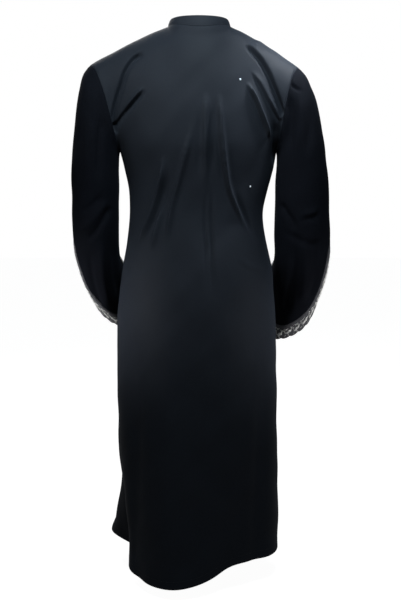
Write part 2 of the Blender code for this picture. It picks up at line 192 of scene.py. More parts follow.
def skirt(face, across, levels):
    """The body at each level, for places across a panel from -1 to 1: x is the half width times the sine of
    a quarter turn times across, and y the depth times its cosine. Each fold moves it in by a bell curve of
    the angle, and the hem's lift is blended in below LIFT_TOP."""
    section = Section(*curve(SECTIONS[:, 0], SECTIONS, levels).T[:, :, None])
    turn = math.pi / 2 * across
    middle = (section.right - section.left) / 2
    x = middle + (section.right + section.left) / 2 * np.sin(turn)
    reach = section.front - section.seam_y if face == "front" else -section.back - section.seam_y
    y = section.seam_y + reach * np.cos(turn)
    z = levels[:, None] + 0.0 * x
    degrees = 90.0 * across if face == "back" else 180.0 - 90.0 * across
    around = np.radians(degrees)
    lift = curve(HEM_LIFT_ANGLES, HEM_LIFTS, within_half_turn(degrees))
    z = z + lift * smoothstep((LIFT_TOP - z) / (LIFT_TOP - HEM_Z))
    for angle, width, inward, top, full in FOLDS:
        shape = np.exp(-((within_half_turn(degrees - angle) / width) ** 2))
        grown = smoothstep((top - levels[:, None]) / (top - full))
        x = x - inward * shape * grown * np.sin(around)
        y = y + inward * shape * grown * np.cos(around)
    return np.stack([x, y, z], axis=-1)


hem_line = skirt("back", np.linspace(-1, 1, 181), np.array([HEM_Z]))[0]
print("the back's hem is", round(float(length_of(hem_line)[-1]), 3), "m long")

# %% [markdown]
# ## The body above the armholes
# From the underarm level each thread of the cloth runs up over the shoulder blades or the chest to the
# neck, to the shoulder seam, or to the armhole. So the yoke is a family of curves that leave the skirt's
# top in its own direction and arrive at the shoulder seam in another, with the neck hole cut out of it.
# Lofting the curves this way keeps the two halves of each armhole, and of each shoulder seam, exactly
# together.

# %% The body above the armholes
NECK_LEFT = (-0.075, 0.000, 0.000)
NECK_RIGHT = (0.081, 0.000, 0.000)
TIP_LEFT = (-0.273, 0.000, -0.0965)
TIP_RIGHT = (0.256, 0.000, -0.103)
SHOULDER_BOW = {"left": 0.004, "right": 0.005}
NECK_MIDDLE = (NECK_LEFT[0] + NECK_RIGHT[0]) / 2
NECK_HALF = (NECK_RIGHT[0] - NECK_LEFT[0]) / 2
NECK_SHARE = 0.3  # how much of the way from the middle to the side the neckline takes
NECK_RISE = {"back": 0.055, "front": -0.008}  # the height of the form in the middle of the neck hole
NECK_DEPTH = {"back": 0.062, "front": 0.069}  # how far the hole reaches to the back and to the front
NECK_STEPS = 200
NECK_LOWEST = 0.4
EDGE_TAPER = 5
# The ways in which a column leaves the skirt and reaches its end, in the middle, at the neck's corner and
# at the armhole.
RISES = {
    ("back", "leave"): ((0.0, -0.040, 0.300), (0.0, -0.050, 0.260), (0.0, -0.275, 0.030)),
    ("back", "reach"): ((0.0, 0.235, 0.000), (0.0, 0.235, 0.000), (0.10, 0.240, -0.050)),
    ("front", "leave"): ((0.0, -0.020, 0.240), (0.0, -0.020, 0.280), (-0.03, -0.235, 0.030)),
    ("front", "reach"): ((0.0, 0.200, 0.020), (0.0, 0.235, 0.000), (0.13, 0.215, -0.060)),
}


def top_line(across):
    """The two shoulder seams as straight lines with a slight bow. Between them it is left at the neck's
    corner."""
    size = np.maximum(np.abs(across), NECK_SHARE)[:, None]
    is_right = (across >= 0)[:, None]
    share = (size - NECK_SHARE) / (1 - NECK_SHARE)
    seam = blend(np.where(is_right, NECK_RIGHT, NECK_LEFT), np.where(is_right, TIP_RIGHT, TIP_LEFT), share)
    bow = np.where(is_right, SHOULDER_BOW["right"], SHOULDER_BOW["left"])
    seam[:, 2:] += bow * 4 * share * (1 - share)
    return seam


def saddle(face, across):
    """The form over the neck hole: a mix of the neck's corner and a middle point, whose height goes by
    squares."""
    corner = np.where((across >= 0)[:, None], NECK_RIGHT, NECK_LEFT)
    middle = np.array([NECK_MIDDLE, 0.0, NECK_RISE[face]])
    share = np.minimum(np.abs(across)[:, None] / NECK_SHARE, 1.0)
    form = blend(middle, corner, share)
    form[:, 2:] = blend(middle[2], corner[:, 2:], share**2)
    return form


def rise_at(face, across, end):
    """A column's tangent: the middle's value turns into the shoulder's by a soft step over the neck's
    share, and into the armhole's by a high power of how far across it is."""
    size = np.abs(across)[:, None]
    signs = [np.sign(across)[:, None], 0 * size + (1 if face == "back" else -1), 0 * size + 1]
    middle, shoulder, edge = (np.array(way) * np.concatenate(signs, axis=1) for way in RISES[face, end])
    return blend(blend(middle, shoulder, smoothstep(size / NECK_SHARE)), edge, size**EDGE_TAPER)


def neck_cut(face, columns, heights):
    """The height at which each column meets the neck hole, an ellipse seen from above, found by
    interpolation."""
    across = (columns[..., 0] - NECK_MIDDLE) / NECK_HALF
    deep = columns[..., 1] / NECK_DEPTH[face]
    beyond = across**2 + deep**2 - 1
    late = heights > NECK_LOWEST
    return np.array([np.interp(0, -column[late], heights[late]) for column in beyond.T])


def yoke(face, across, heights):
    """The body above the armholes: a cubic up each column, cut off where it meets the neck hole."""
    start = skirt(face, across, np.array([UNDERARM_Z]))[0]
    end = np.where((np.abs(across) < NECK_SHARE)[:, None], saddle(face, across), top_line(across))
    ways = start, rise_at(face, across, "leave"), end, rise_at(face, across, "reach")
    fine = np.linspace(0, 1, NECK_STEPS)
    stop = neck_cut(face, hermite(*ways, fine[:, None, None]), fine)
    stop = np.where(np.abs(across) < NECK_SHARE, stop, 1.0)
    return hermite(*ways, heights[:, None, None] * stop[:, None])


back_neck = yoke("back", np.array([0.0]), np.array([1.0]))[0, 0]
print("the back neck is at z =", round(float(back_neck[2]), 4), "m")

# %% [markdown]
# ## Grids for the panels
# A grid follows the cloth: its columns are lengthwise threads and its rows run across. It is fine where the
# cloth is creased, on the upper back, and coarser down the plain skirt. A narrow strip along each edge lets
# the cloth sink into its seams.

# %% Grids for the panels
EDGE_SHARES = (0.010, 0.0035)  # of the half width, so about 3 mm and 1 mm from the side seam
LAP = NECK_SHARE * math.sin(math.pi / 12)  # how far each front goes past the centre
HEM_LEVELS = np.array([0.0, 0.003, 0.010])  # close rows above the hem
SKIRT_START = 0.020
CLOSER_ABOVE = -0.66  # the height above which the rows are closer
YOKE_END = 0.985
SEAM_HEIGHTS = (0.993, 0.9975, 1.0)  # close rows below the top seam
BACK_COLUMNS = (22, 68)


def half_columns(neck, shoulder):
    """Places across half a panel, spaced by a sine up to the neck's corner, then evenly to the side
    seam."""
    first = NECK_SHARE * np.sin(np.linspace(0, math.pi / 2, neck + 1))
    second = np.linspace(NECK_SHARE, 1 - EDGE_SHARES[0], shoulder + 1)[1:]
    return np.concatenate([first, second, [1 - EDGE_SHARES[1], 1.0]])


def panel(face, across, skirt_rows, waist_rows, yoke_rows):
    """A panel from its hem up: the skirt's levels, the waist's closer ones, then the yoke's heights."""
    lower = np.linspace(HEM_Z + SKIRT_START, CLOSER_ABOVE, skirt_rows)
    upper = np.linspace(CLOSER_ABOVE, UNDERARM_Z, waist_rows + 1)[1:]
    levels = np.concatenate([HEM_Z + HEM_LEVELS, lower, upper])
    heights = np.concatenate([np.linspace(0, YOKE_END, yoke_rows)[1:], SEAM_HEIGHTS])
    return np.concatenate([skirt(face, across, levels), yoke(face, across, heights)])


def normals(grid, closed=False):
    """The cross product of the ways along the columns and rows, made 1 long. A closed grid wraps round."""
    if closed:
        wrapped = np.concatenate([grid[:, -1:], grid, grid[:, :1]], axis=1)
        across = np.gradient(wrapped, axis=1)[:, 1:-1]
    else:
        across = np.gradient(grid, axis=1)
    return unit(np.cross(across, np.gradient(grid, axis=0)))


half = half_columns(*BACK_COLUMNS)
print("half a panel has", len(half), "columns")

# %% [markdown]
# ## Creases
# The satin is pulled from the shoulder blades to the armholes, and from the blades down into the waist,
# where the real one shows dark tucks with a bright ridge beside them. Each crease is given as a
# path on the cloth: the height is how far it stands out, less than 0 for a trough, and each side has its
# own width, so a narrow one makes a sharp fold. Similar ones are put on the sides that the picture doesn't
# show. A cloth simulation would fold somewhere else each time, so paths suit a garment that has to match.

# %% Creases on the back
# Each row, in mm but for the fades: height, left width, right width, the share of the path over which it
# fades in, the share over which it fades out, and then the path's x and z, point by point.
BACK_CREASES = (
    # the left armhole's two tucks
    (-11.5, 3.4, 9, 0.1, 0.05, -138, -62, -144, -71, -156, -78, -168, -93, -178, -110, -189, -142, -198,
     -169, -205, -196, -209, -222, -210, -266),
    (-8.5, 3, 8.5, 0.25, 0.05, -127, -156, -134, -163, -151, -180, -168, -199, -185, -217, -199, -236,
     -219, -263),
    (4.5, 7, 2.8, 0.25, 0.35, -130, -153, -147, -170, -164, -189, -181, -208),
    # the right armhole's two tucks: each fold lies over the cloth on its left
    (7, 2.6, 30, 0.1, 0.08, 122, -44, 128, -52, 158, -87, 174, -112, 192, -151, 208, -189, 217, -220),
    (-7.2, 6, 3, 0.1, 0.06, 117, -46, 123, -54, 152, -89, 168, -114, 186, -153, 203, -191, 214, -224),
    (6, 2.4, 8.5, 0.25, 0.08, 128, -112, 140, -127, 155, -149, 169, -175, 185, -201, 206, -234),
    (-3, 5, 2.4, 0.3, 0.08, 124, -113, 136, -128, 151, -151, 165, -177, 181, -203, 202, -236),
    # the bright streak below them, and the hollow where the body turns under the arm
    (13.5, 2.6, 5.4, 0.2, 0.15, 118, -140, 126, -157, 139, -181, 153, -214, 165, -243, 175, -275),
    (-3.5, 6, 2.4, 0.3, 0.2, 114, -142, 122, -159, 135, -183, 149, -216, 161, -245, 171, -277),
    (-8, 8, 16, 0.3, 0.3, 188, -225, 192, -260, 193, -300, 194, -350),
    # the long soft streaks from the shoulder blades into the waist
    (12.5, 3, 5, 0.2, 0.45, 18, -165, 18, -253, 17, -336, 15, -420),
    (14.5, 2.8, 6.4, 0.15, 0.35, 50, -165, 52, -205, 55, -250, 60, -295, 66, -342, 76, -400, 90, -438, 108,
     -477, 135, -530),
    (-6, 7, 3, 0.3, 0.4, 44, -180, 47, -250, 53, -310, 62, -370, 76, -430),
    (-4.5, 6, 6, 0.35, 0.4, 32, -190, 33, -281, 35, -380),
    (-4.2, 7, 4.5, 0.35, 0.35, 6, -200, 5, -290, 2, -380),
    (10, 3, 8, 0.3, 0.3, -12, -230, -22, -275, -34, -317, -50, -380, -65, -438, -72, -477, -80, -540),
    (7, 3, 7, 0.35, 0.35, -82, -430, -91, -457, -103, -500, -118, -555),
    (11, 3, 8, 0.25, 0.25, -82, -315, -86, -332, -91, -365, -103, -414, -120, -468, -137, -507, -150,
     -540),
    (-6, 8, 8, 0.35, 0.3, -72, -350, -78, -385, -91, -430, -108, -475, -130, -530),
    (-8.5, 2.6, 3.6, 0.35, 0.4, 19.5, -390, 19, -470, 19.5, -560, 20, -660),
    (-10, 2.6, 4, 0.35, 0.4, 33, -380, 32.5, -470, 33.5, -570, 36, -690),
    (-5.5, 11, 4, 0.35, 0.35, 88, -400, 120, -468, 147, -530),
    # the pull into the side seams above the hips
    (-3, 6, 6, 0.4, 0.2, -120, -585, -150, -602, -182, -606),
    (3, 6, 7, 0.4, 0.25, 92, -560, 128, -590, 170, -604),
    # the skirt's wide soft hangs
    (-4.5, 16, 14, 0.3, 0.1, -146, -760, -150, -900, -157, -1110, -165, -1250, -170, -1398),
    (-4.5, 14, 17, 0.3, 0.1, 162, -740, 161, -900, 156, -1100, 150, -1250, 148, -1380),
    (3, 20, 22, 0.4, 0.1, -60, -620, -68, -800, -78, -1050, -85, -1398),
    (-3, 18, 20, 0.4, 0.1, -10, -700, -15, -900, -20, -1150, -30, -1400),
    (3, 20, 18, 0.4, 0.1, 60, -640, 72, -850, 80, -1100, 86, -1380),
)
print(len(BACK_CREASES), "creases on the back")

# %% Creases on the fronts
FRONT_CREASES = (  # in the same order as on the back
    (-6, 4, 6, 0.15, 0.1, 146, -70, 168, -106, 184, -155, 197, -205),
    (-5, 5, 4, 0.15, 0.1, -150, -76, -176, -112, -193, -160, -203, -212),
    (3.6, 8, 11, 0.3, 0.35, 62, -235, 72, -320, 70, -410, 58, -505),
    (3.4, 11, 8, 0.3, 0.35, -66, -245, -78, -330, -80, -430, -70, -530),
    (-3.8, 8, 8, 0.35, 0.3, 108, -300, 120, -390, 106, -500, 98, -560),
    (-3.6, 8, 8, 0.35, 0.3, -112, -285, -120, -390, -128, -490, -120, -570),
    (4.4, 20, 18, 0.35, 0.1, 50, -560, 58, -800, 66, -1080, 70, -1366),
    (-6, 17, 19, 0.35, 0.1, 100, -600, 112, -850, 122, -1100, 128, -1366),
    (-5.2, 18, 16, 0.35, 0.1, -52, -590, -62, -830, -72, -1100, -80, -1366),
    (4.4, 16, 17, 0.35, 0.1, -120, -640, -130, -880, -138, -1120, -142, -1360),
    (3.4, 15, 14, 0.35, 0.1, 160, -720, 166, -960, 172, -1160, 174, -1350),
)
print(len(FRONT_CREASES), "creases on the fronts")

# %% From a path to a crease
PATH_STEPS = 80
EDGE_HOLD = 0.0045  # next to a seam the cloth is held flat
SEAM_SINK = 0.0010
SEAM_SOFTNESS = 0.0024
RIPPLES = (  # height, and how many waves there are in a metre along x, y and z, and the phase
    (0.00055, 5.1, 3.2, 6.3, 0.4),
    (0.00040, -7.4, 4.1, 9.2, 2.1),
    (0.00030, 12.3, -6.0, 5.4, 4.4),
    (0.00022, -15.8, 9.1, 13.0, 1.3),
)


def crease_heights(points, creases):
    """For each point, the sum over the creases of height times a bell curve of the distance from the path,
    seen from behind or in front, times a soft fade at both of the path's ends."""
    seen = points[..., [0, 2]].reshape(-1, 2)
    total = np.zeros(len(seen))
    steps = np.linspace(0, 1, PATH_STEPS)
    for row in creases:
        height, left, right = np.array(row[:3]) / MM_IN_M
        fade_in, fade_out = row[3:5]
        path = np.array(row[5:]).reshape(-1, 2) / MM_IN_M
        knots = length_of(path)
        line = curve(knots / knots[-1], path, steps)
        ways = unit(np.gradient(line, axis=0))
        nearest = ((seen[:, None] - line) ** 2).sum(axis=-1).argmin(axis=1)
        offset = seen - line[nearest]
        way = ways[nearest]
        side = way[:, 0] * offset[:, 1] - way[:, 1] * offset[:, 0]
        past = np.where((nearest == 0) | (nearest == PATH_STEPS - 1), (way * offset).sum(axis=1), 0.0)
        wide = np.where(side > 0, right, left)
        fade = smoothstep(steps[nearest] / fade_in) * smoothstep((1 - steps[nearest]) / fade_out)
        total += height * fade * np.exp(-((side / wide) ** 2) - (past / wide) ** 2)
    return total.reshape(points.shape[:-1])


def ripples(points):
    """The slight unevenness of hanging cloth: a sum of a few long sine waves."""
    total = 0.0
    for height, along_x, along_y, along_z, phase in RIPPLES:
        total = total + height * np.sin(2 * math.pi * (points @ (along_x, along_y, along_z)) + phase)
    return total


def from_edges(grid, rows, columns):
    """How far each point is from the nearest of the named edges, measured along its row and column."""
    far = np.full(grid.shape[:2], 1.0)
    down = distances(grid)
    over = distances(grid.swapaxes(0, 1)).T
    for edge in rows:
        far = np.minimum(far, down if edge == "first" else down[-1:] - down)
    for edge in columns:
        far = np.minimum(far, over if edge == "first" else over[:, -1:] - over)
    return far


def shaped(grid, out, far, shape):
    """The grid moved outwards by its creases, held flat next to its seams and sunk along them."""
    sink = SEAM_SINK * np.exp(-((far / SEAM_SOFTNESS) ** 2))
    return grid + out * (shape * smoothstep(far / EDGE_HOLD) - sink)[..., None]


print(len(RIPPLES), "ripples on every piece")

# %% [markdown]
# ## Turned edges
# No edge of the real garment is raw. At a hem and at a front edge the cloth is folded in and stitched, and
# at a seam each side's allowance is pressed back under its own panel. Here the grid simply goes on past the
# edge: one step inwards and then back along the inside, so every seam shows two soft folds that meet in a
# groove.

# %% Turned edges
CLOTH_WALL = 0.0007
TURN_GAP = 0.0017
SEAM_TURN = 0.009
HEM_TURN = 0.022
FRONT_TURN = 0.026


def reader_at(grid, distance):
    """A way to read any array of the grid where each column is this far from the first row."""
    far = distances(grid)
    row = np.clip((far < distance).sum(axis=0), 1, len(grid) - 1)
    column = np.arange(grid.shape[1])
    share = ((distance - far[row - 1, column]) / (far[row, column] - far[row - 1, column]))[:, None]
    return lambda array: blend(array[row - 1, column], array[row, column], share)


class Cloth:
    """A grid of points with its outward normals and its own flat map in metres."""

    def __init__(self, grid, out, flat=None):
        self.grid, self.out = grid, out
        self.flat = grid[..., :2] if flat is None else flat

    def seen_from(self, edge):
        """The three arrays, turned so that the named edge is their first row."""
        for array in (self.grid, self.out, self.flat):
            view = array if edge.endswith("row") else array.swapaxes(0, 1)
            yield view if edge.startswith("first") else view[::-1]

    def turned(self, edge, width, steps=3):
        """The cloth with this edge folded in: rows at even distances back from it, TURN_GAP inside."""
        grid, out, flat = self.seen_from(edge)
        extra = []
        for back in np.linspace(0, width, steps + 1):
            read = reader_at(grid, back)
            inside = read(out)
            extra.append((read(grid) - TURN_GAP * inside, inside, flat[0] - (read(flat) - flat[0])))
        arrays = []
        for number, array in enumerate((grid, out, flat)):
            rows = np.array([step[number] for step in extra])[::-1]
            array = np.concatenate([rows, array])
            array = array if edge.startswith("first") else array[::-1]
            arrays.append(array if edge.endswith("row") else array.swapaxes(0, 1))
        return Cloth(*arrays)

    def line_at(self, edge, distance):
        """The line at a distance in from one of its edges, with its normals."""
        points, ways, _ = self.seen_from(edge)
        read = reader_at(points, distance)
        return read(points), unit(read(ways))


print("hems are turned", round(HEM_TURN * MM_IN_M), "mm and seams", round(SEAM_TURN * MM_IN_M), "mm")

# %% [markdown]
# ## Putting a grid into a mesh
# The grid becomes quads with one smooth shell wall under them. The flat map in metres goes into the piece's
# UV map, so that a weave has the right size on every piece and follows the cloth round the body.

# %% Putting a grid into a mesh
made = []


def quads_of(rows, columns, closed=False):
    """The corners of the quads between neighbouring rows and columns, as numbers into points and into the
    map. A closed grid joins its last column to its first, while its map has one more column than its
    points."""
    count = columns if closed else columns - 1
    wide = columns + 1 if closed else columns
    row, column = np.meshgrid(np.arange(rows - 1), np.arange(count), indexing="ij")
    after = (column + 1) % columns
    here, there = row * columns, (row + 1) * columns
    points = np.stack([here + column, here + after, there + after, there + column], axis=-1)
    here, there = row * wide + column, (row + 1) * wide + column
    flat = np.stack([here, here + 1, there + 1, there], axis=-1)
    return points.reshape(-1, 4), flat.reshape(-1, 4)


def add_mesh(name, points, faces, flat, finish):
    """A mesh object from arrays. Each row of faces holds the numbers of one face's corners, and flat holds
    the corners' places in the map."""
    mesh = bpy.data.meshes.new(name)
    mesh.vertices.add(len(points))
    mesh.vertices.foreach_set("co", np.ascontiguousarray(points, np.float32).ravel())
    mesh.loops.add(faces.size)
    mesh.loops.foreach_set("vertex_index", np.ascontiguousarray(faces, np.int32).ravel())
    mesh.polygons.add(len(faces))
    mesh.polygons.foreach_set("loop_start", np.arange(0, faces.size, faces.shape[1], dtype=np.int32))
    layer = mesh.uv_layers.new(name="flat")
    layer.data.foreach_set("uv", np.ascontiguousarray(flat, np.float32).ravel())
    mesh.update(calc_edges=True)
    mesh.validate()
    mesh.shade_smooth()
    mesh.materials.append(finish)
    piece = bpy.data.objects.new(name, mesh)
    bpy.context.scene.collection.objects.link(piece)
    made.append(piece)
    return piece


def add_cloth(name, cloth, finish, wall, closed=False, turned=False):
    """A thin shell: the cloth's grid as quads, facing outwards, with a wall on its inner side."""
    faces, flat_faces = quads_of(*cloth.grid.shape[:2], closed)
    if turned:
        faces, flat_faces = faces[:, ::-1], flat_faces[:, ::-1]
    piece = add_mesh(name, cloth.grid.reshape(-1, 3), faces, cloth.flat.reshape(-1, 2)[flat_faces], finish)
    shell = piece.modifiers.new("shell", "SOLIDIFY")
    shell.thickness = wall
    shell.offset = -1.0
    print(name, "has", len(faces), "quads before its wall")
    return piece


print("a grid of 3 by 3 points has", len(quads_of(3, 3)[0]), "quads")

# %% [markdown]
# ## The finishes of the cloth
# The body is a black crepe with a satin back: it has a soft blue-grey shine on the shoulders and drinks the
# light on the skirt. The sleeves look duller. Both are made the same way: near-black threads crossed over
# and under each other, about 0.6 mm apart, as a very shallow bump, with slight changes of tone and
# roughness over the whole piece. The sheen gives the grey bloom of fibre ends at grazing angles.

# %% The parts of a finish
CROSSING = 0.314  # a wave texture of scale 1 repeats after this length
THREAD_DETAIL = {"Detail": 1.0, "Detail Scale": 1.5}
TONE_ENDS = (0.25, 0.75)


class Finish:
    """A new material, and the few kinds of node that it is made of. A node is given as its output."""

    def __init__(self, name):
        self.material = bpy.data.materials.new(name)
        self.material.use_nodes = True
        self.tree = self.material.node_tree
        self.shader = self.tree.nodes["Principled BSDF"]

    def fill(self, node, inputs):
        """Sets each input to a number or a colour, or links it to another node's output."""
        for key, value in inputs.items():
            if isinstance(value, bpy.types.NodeSocket):
                self.tree.links.new(value, node.inputs[key])
            else:
                node.inputs[key].default_value = value

    def add(self, kind, output, inputs, **settings):
        """A node of one kind, with its inputs filled."""
        node = self.tree.nodes.new("ShaderNode" + kind)
        for key, value in settings.items():
            setattr(node, key, value)
        self.fill(node, inputs)
        return node.outputs[output]

    def flat(self, turn_degrees=0.0):
        """The piece's own flat map in metres, turned if asked."""
        turn = (0.0, 0.0, math.radians(turn_degrees))
        flat = self.add("UVMap", "UV", {}, uv_map="flat")
        return self.add("Mapping", "Vector", {"Vector": flat, "Rotation": turn})

    def threads(self, vector, spacing, direction, wobble=0.6):
        """Bands across one direction, one for each thread, with a slight wobble."""
        inputs = {"Vector": vector, "Scale": CROSSING / spacing, "Distortion": wobble}
        return self.add("TexWave", "Fac", inputs | THREAD_DETAIL, bands_direction=direction)

    def noise(self, scale, detail=2.0):
        """A cloudy number over the piece, in its own space."""
        place = self.add("TexCoord", "Object", {})
        return self.add("TexNoise", "Fac", {"Vector": place, "Scale": scale, "Detail": detail})

    def ranged(self, value, low, high):
        """A number from 0 to 1 spread between low and high."""
        return self.add("MapRange", "Result", {"Value": value, "To Min": low, "To Max": high})

    def joined(self, operation, first, second):
        """One number from two."""
        return self.add("Math", "Value", {0: first, 1: second}, operation=operation)

    def two_tones(self, value, dark, light):
        """A colour between two, by a number."""
        colour = self.add("ValToRGB", "Color", {"Fac": value})
        for end, position, tone in zip(colour.node.color_ramp.elements, TONE_ENDS, (dark, light)):
            end.position = position
            end.color = (*tone, 1.0)
        return colour

    def bump(self, height, distance, strength):
        """The shader's normal from a height."""
        return self.add("Bump", "Normal", {"Height": height, "Distance": distance, "Strength": strength})

    def look(self, inputs):
        """Fills the shader's own inputs and gives the material."""
        self.fill(self.shader, inputs)
        return self.material


print("a thread every millimetre needs a scale of", round(CROSSING * MM_IN_M))

# %% Two woven finishes
THREAD_SPACING = 0.0006
WEFT_SPACING = THREAD_SPACING * 1.15
WEAVE_BUMP = (0.00012, 0.35)  # height and strength
CLOUD, CLOUD_SPREAD = (9.0, 3.0), (-0.25, 0.75)  # scale and detail, and the shares of tone it gives
GRAIN, GRAIN_SPREAD = (260.0, 1.0), (-0.3, 0.8)
Weave = namedtuple("Weave", "dark light low high sheen sheen_rough sheen_tint specular")


def woven(name, weave):
    """Crossed threads for the bump, a cloud of tone over the piece, and roughness from low to high."""
    finish = Finish(name)
    flat = finish.flat()
    warp = finish.threads(flat, THREAD_SPACING, "X")
    weft = finish.threads(flat, WEFT_SPACING, "Y")
    cloud = finish.noise(*CLOUD)
    grain = finish.noise(*GRAIN)
    tone = finish.joined("ADD", finish.ranged(cloud, *CLOUD_SPREAD), finish.ranged(grain, *GRAIN_SPREAD))
    return finish.look({
        "Base Color": finish.two_tones(tone, weave.dark, weave.light),
        "Roughness": finish.ranged(cloud, weave.low, weave.high),
        "Normal": finish.bump(finish.joined("MULTIPLY", warp, weft), *WEAVE_BUMP),
        "Specular IOR Level": weave.specular,
        "Sheen Weight": weave.sheen,
        "Sheen Roughness": weave.sheen_rough,
        "Sheen Tint": (*weave.sheen_tint, 1.0),
    })


satin = woven("satin black", Weave((0.0136, 0.0160, 0.0214), (0.0157, 0.0184, 0.0245), 0.55, 0.60,
                                   0.03, 0.45, (0.62, 0.76, 1.0), 0.06))
matt = woven("matt black", Weave((0.0038, 0.0044, 0.0066), (0.0054, 0.0062, 0.0092), 0.75, 0.88,
                                 0.01, 0.50, (0.70, 0.78, 1.0), 0.03))
print("cloth finishes:", satin.name, "and", matt.name)

# %% [markdown]
# ## The back
# The back is one piece from side seam to side seam. It is the surface that the picture shows most of, so it
# gets the finest grid. Its sides, its shoulders and its neck are turned as seams, and its hem is turned up.

# %% The back
BODY_HALF_GIRTH = 0.31
EVEN_ROUNDS = 60
EVEN_DEPTH = 0.035
BACK_ROWS = (44, 56, 134)


def flat_map(grid, across):
    """The cloth laid flat: u is the share across times half the girth, and v the distance up the middle."""
    u = np.broadcast_to(across * BODY_HALF_GIRTH, grid.shape[:2])
    v = np.broadcast_to(length_of(grid[:, grid.shape[1] // 2])[:, None], grid.shape[:2])
    return np.stack([u, v], axis=-1)


def evened(grid):
    """The grid with each point averaged with its neighbours, along the row and up the column, many times
    over. It is left as it was at its edges, and the change grows by a soft step over EVEN_DEPTH."""
    soft = grid.copy()
    for _ in range(EVEN_ROUNDS):
        soft[:, 1:-1] = (soft[:, :-2] + 2 * soft[:, 1:-1] + soft[:, 2:]) / 4
        soft[1:-1] = (soft[:-2] + 2 * soft[1:-1] + soft[2:]) / 4
    share = smoothstep(from_edges(grid, ("first", "last"), ("first", "last")) / EVEN_DEPTH)
    return blend(grid, soft, share[..., None])


def body_cloth(face, across, creases, rows, seams):
    """A panel with its creases and ripples, sunk along its seams. seams names its sewn columns."""
    grid = evened(panel(face, across, *rows))
    far = from_edges(grid, ("last",), seams)
    grid = shaped(grid, normals(grid), far, crease_heights(grid, creases) + ripples(grid))
    return Cloth(grid, normals(grid), flat_map(grid, across))


back_across = np.concatenate([-half[:0:-1], half])
back_form = body_cloth("back", back_across, BACK_CREASES, BACK_ROWS, ("first", "last"))
back_cloth = back_form.turned("first row", HEM_TURN)
for edge in ("last row", "first column", "last column"):
    back_cloth = back_cloth.turned(edge, SEAM_TURN, 2)
back_piece = add_cloth("back_cloth", back_cloth, satin, CLOTH_WALL)

# %% [markdown]
# ## The two fronts
# The fronts meet at the centre, where the right one lies over the left. Their centre edges are folded in
# and stitched from the neck to the hem. They are made like the back, on a coarser grid.

# %% The two fronts
FRONT_ROWS = (62, 44, 52)
FRONT_COLUMNS = (18, 56)
LAP_COLUMNS = 5
LAP_RAMP = 0.10
LAP_STEP = 0.0022  # how far the left front steps in under the right one


def front_cloth(side):
    """One front, from its side seam past the centre. The left one steps in by a soft ramp."""
    across = np.concatenate([np.linspace(-LAP, 0, LAP_COLUMNS + 1)[:-1], half_columns(*FRONT_COLUMNS)])
    edge, seam = ("last", "first") if side == "right" else ("first", "last")
    across = across[::-1] if side == "right" else -across
    form = body_cloth("front", across, FRONT_CREASES, FRONT_ROWS, (seam,))
    if side == "left":
        under = smoothstep((across + LAP + LAP_RAMP) / LAP_RAMP)[None, :, None]
        form.grid = form.grid - form.out * under * LAP_STEP
    cloth = form.turned("first row", HEM_TURN).turned(edge + " column", FRONT_TURN)
    return form, cloth.turned("last row", SEAM_TURN, 2).turned(seam + " column", SEAM_TURN, 2)


front_forms = {}
front_pieces = {}
for side in SIDES:
    front_forms[side], cloth = front_cloth(side)
    front_pieces[side] = add_cloth(f"front_cloth_{side}", cloth, satin, CLOTH_WALL)

# %% [markdown]
# ## The collar
# The stand collar is a stiffened band of double cloth, higher at the back than at the front, where its two
# ends are rounded off. It is a closed profile carried along the neck seam: up the outside, over a rolled
# top edge that catches the light, and down the inside.

# %% The collar's seam
COLLAR_WALL = 0.0022
COLLAR_HEIGHT_BACK = 0.0245
COLLAR_HEIGHT_FRONT = 0.014
COLLAR_TAPER = 4
COLLAR_LEAN = 0.20
COLLAR_ROLL = 0.0022  # how much more its top edge bends in
COLLAR_OPENING = 0.006
COLLAR_END_DROP = 0.35
COLLAR_END_ROUND = 0.012
COLLAR_LAP = 0.0016  # how far its lower edge goes over the neck's turned edge
COLLAR_PLACES = 241
NECK_COLUMNS = 40
UP = np.array([0.0, 0.0, 1.0])


def neckline():
    """The neck seam from the centre front round the back, the left side first."""
    places = half_columns(NECK_COLUMNS, 2)[:NECK_COLUMNS + 1]
    top = np.array([1.0])
    left = yoke("front", -places[:-1], top)[0]
    back = yoke("back", np.concatenate([-places[:0:-1], places]), top)[0]
    right = yoke("front", places[-2::-1], top)[0]
    return np.concatenate([left, back, right])


def collar_parts():
    """The seam line at even places, the collar's height at each, and the ways inwards."""
    base = neckline()
    far = length_of(base)
    base = base[(far > COLLAR_OPENING / 2) & (far < far[-1] - COLLAR_OPENING / 2)]
    far = length_of(base)
    base = curve(far, base, np.linspace(0, far[-1], COLLAR_PLACES))
    far = length_of(base)
    backness = np.cos(math.pi * np.minimum(np.abs(far / far[-1] * 2 - 1), 0.5)) ** COLLAR_TAPER
    height = blend(COLLAR_HEIGHT_FRONT, COLLAR_HEIGHT_BACK, backness)
    from_end = np.minimum(far, far[-1] - far)
    height = height * (1 - COLLAR_END_DROP * (1 - np.sqrt(np.clip(from_end / COLLAR_END_ROUND, 0, 1))))
    return base, height[:, None], unit((base.mean(axis=0) - base) * (1, 1, 0))


collar_base, collar_height, collar_in = collar_parts()
print("the collar is", round(float(collar_height.max()), 4), "m high at the back")

# %% The collar
OUTER_STEPS = np.array([0.0, 0.05, 0.14, 0.28, 0.42, 0.56, 0.70, 0.82, 0.92, 1.0])
ROLL_TURNS = np.radians([30, 60, 90, 120, 150, 180])
INNER_STEPS = np.array([0.92, 0.75, 0.5, 0.25, 0.0])


def collar_outer(t):
    """A line along the outer side, a share t of the way up: the lean, and a roll that goes by cubes."""
    way = collar_in * COLLAR_LEAN + UP
    start = collar_base - UP * COLLAR_LAP
    return start + way * (collar_height + COLLAR_LAP) * t + collar_in * COLLAR_ROLL * t**3


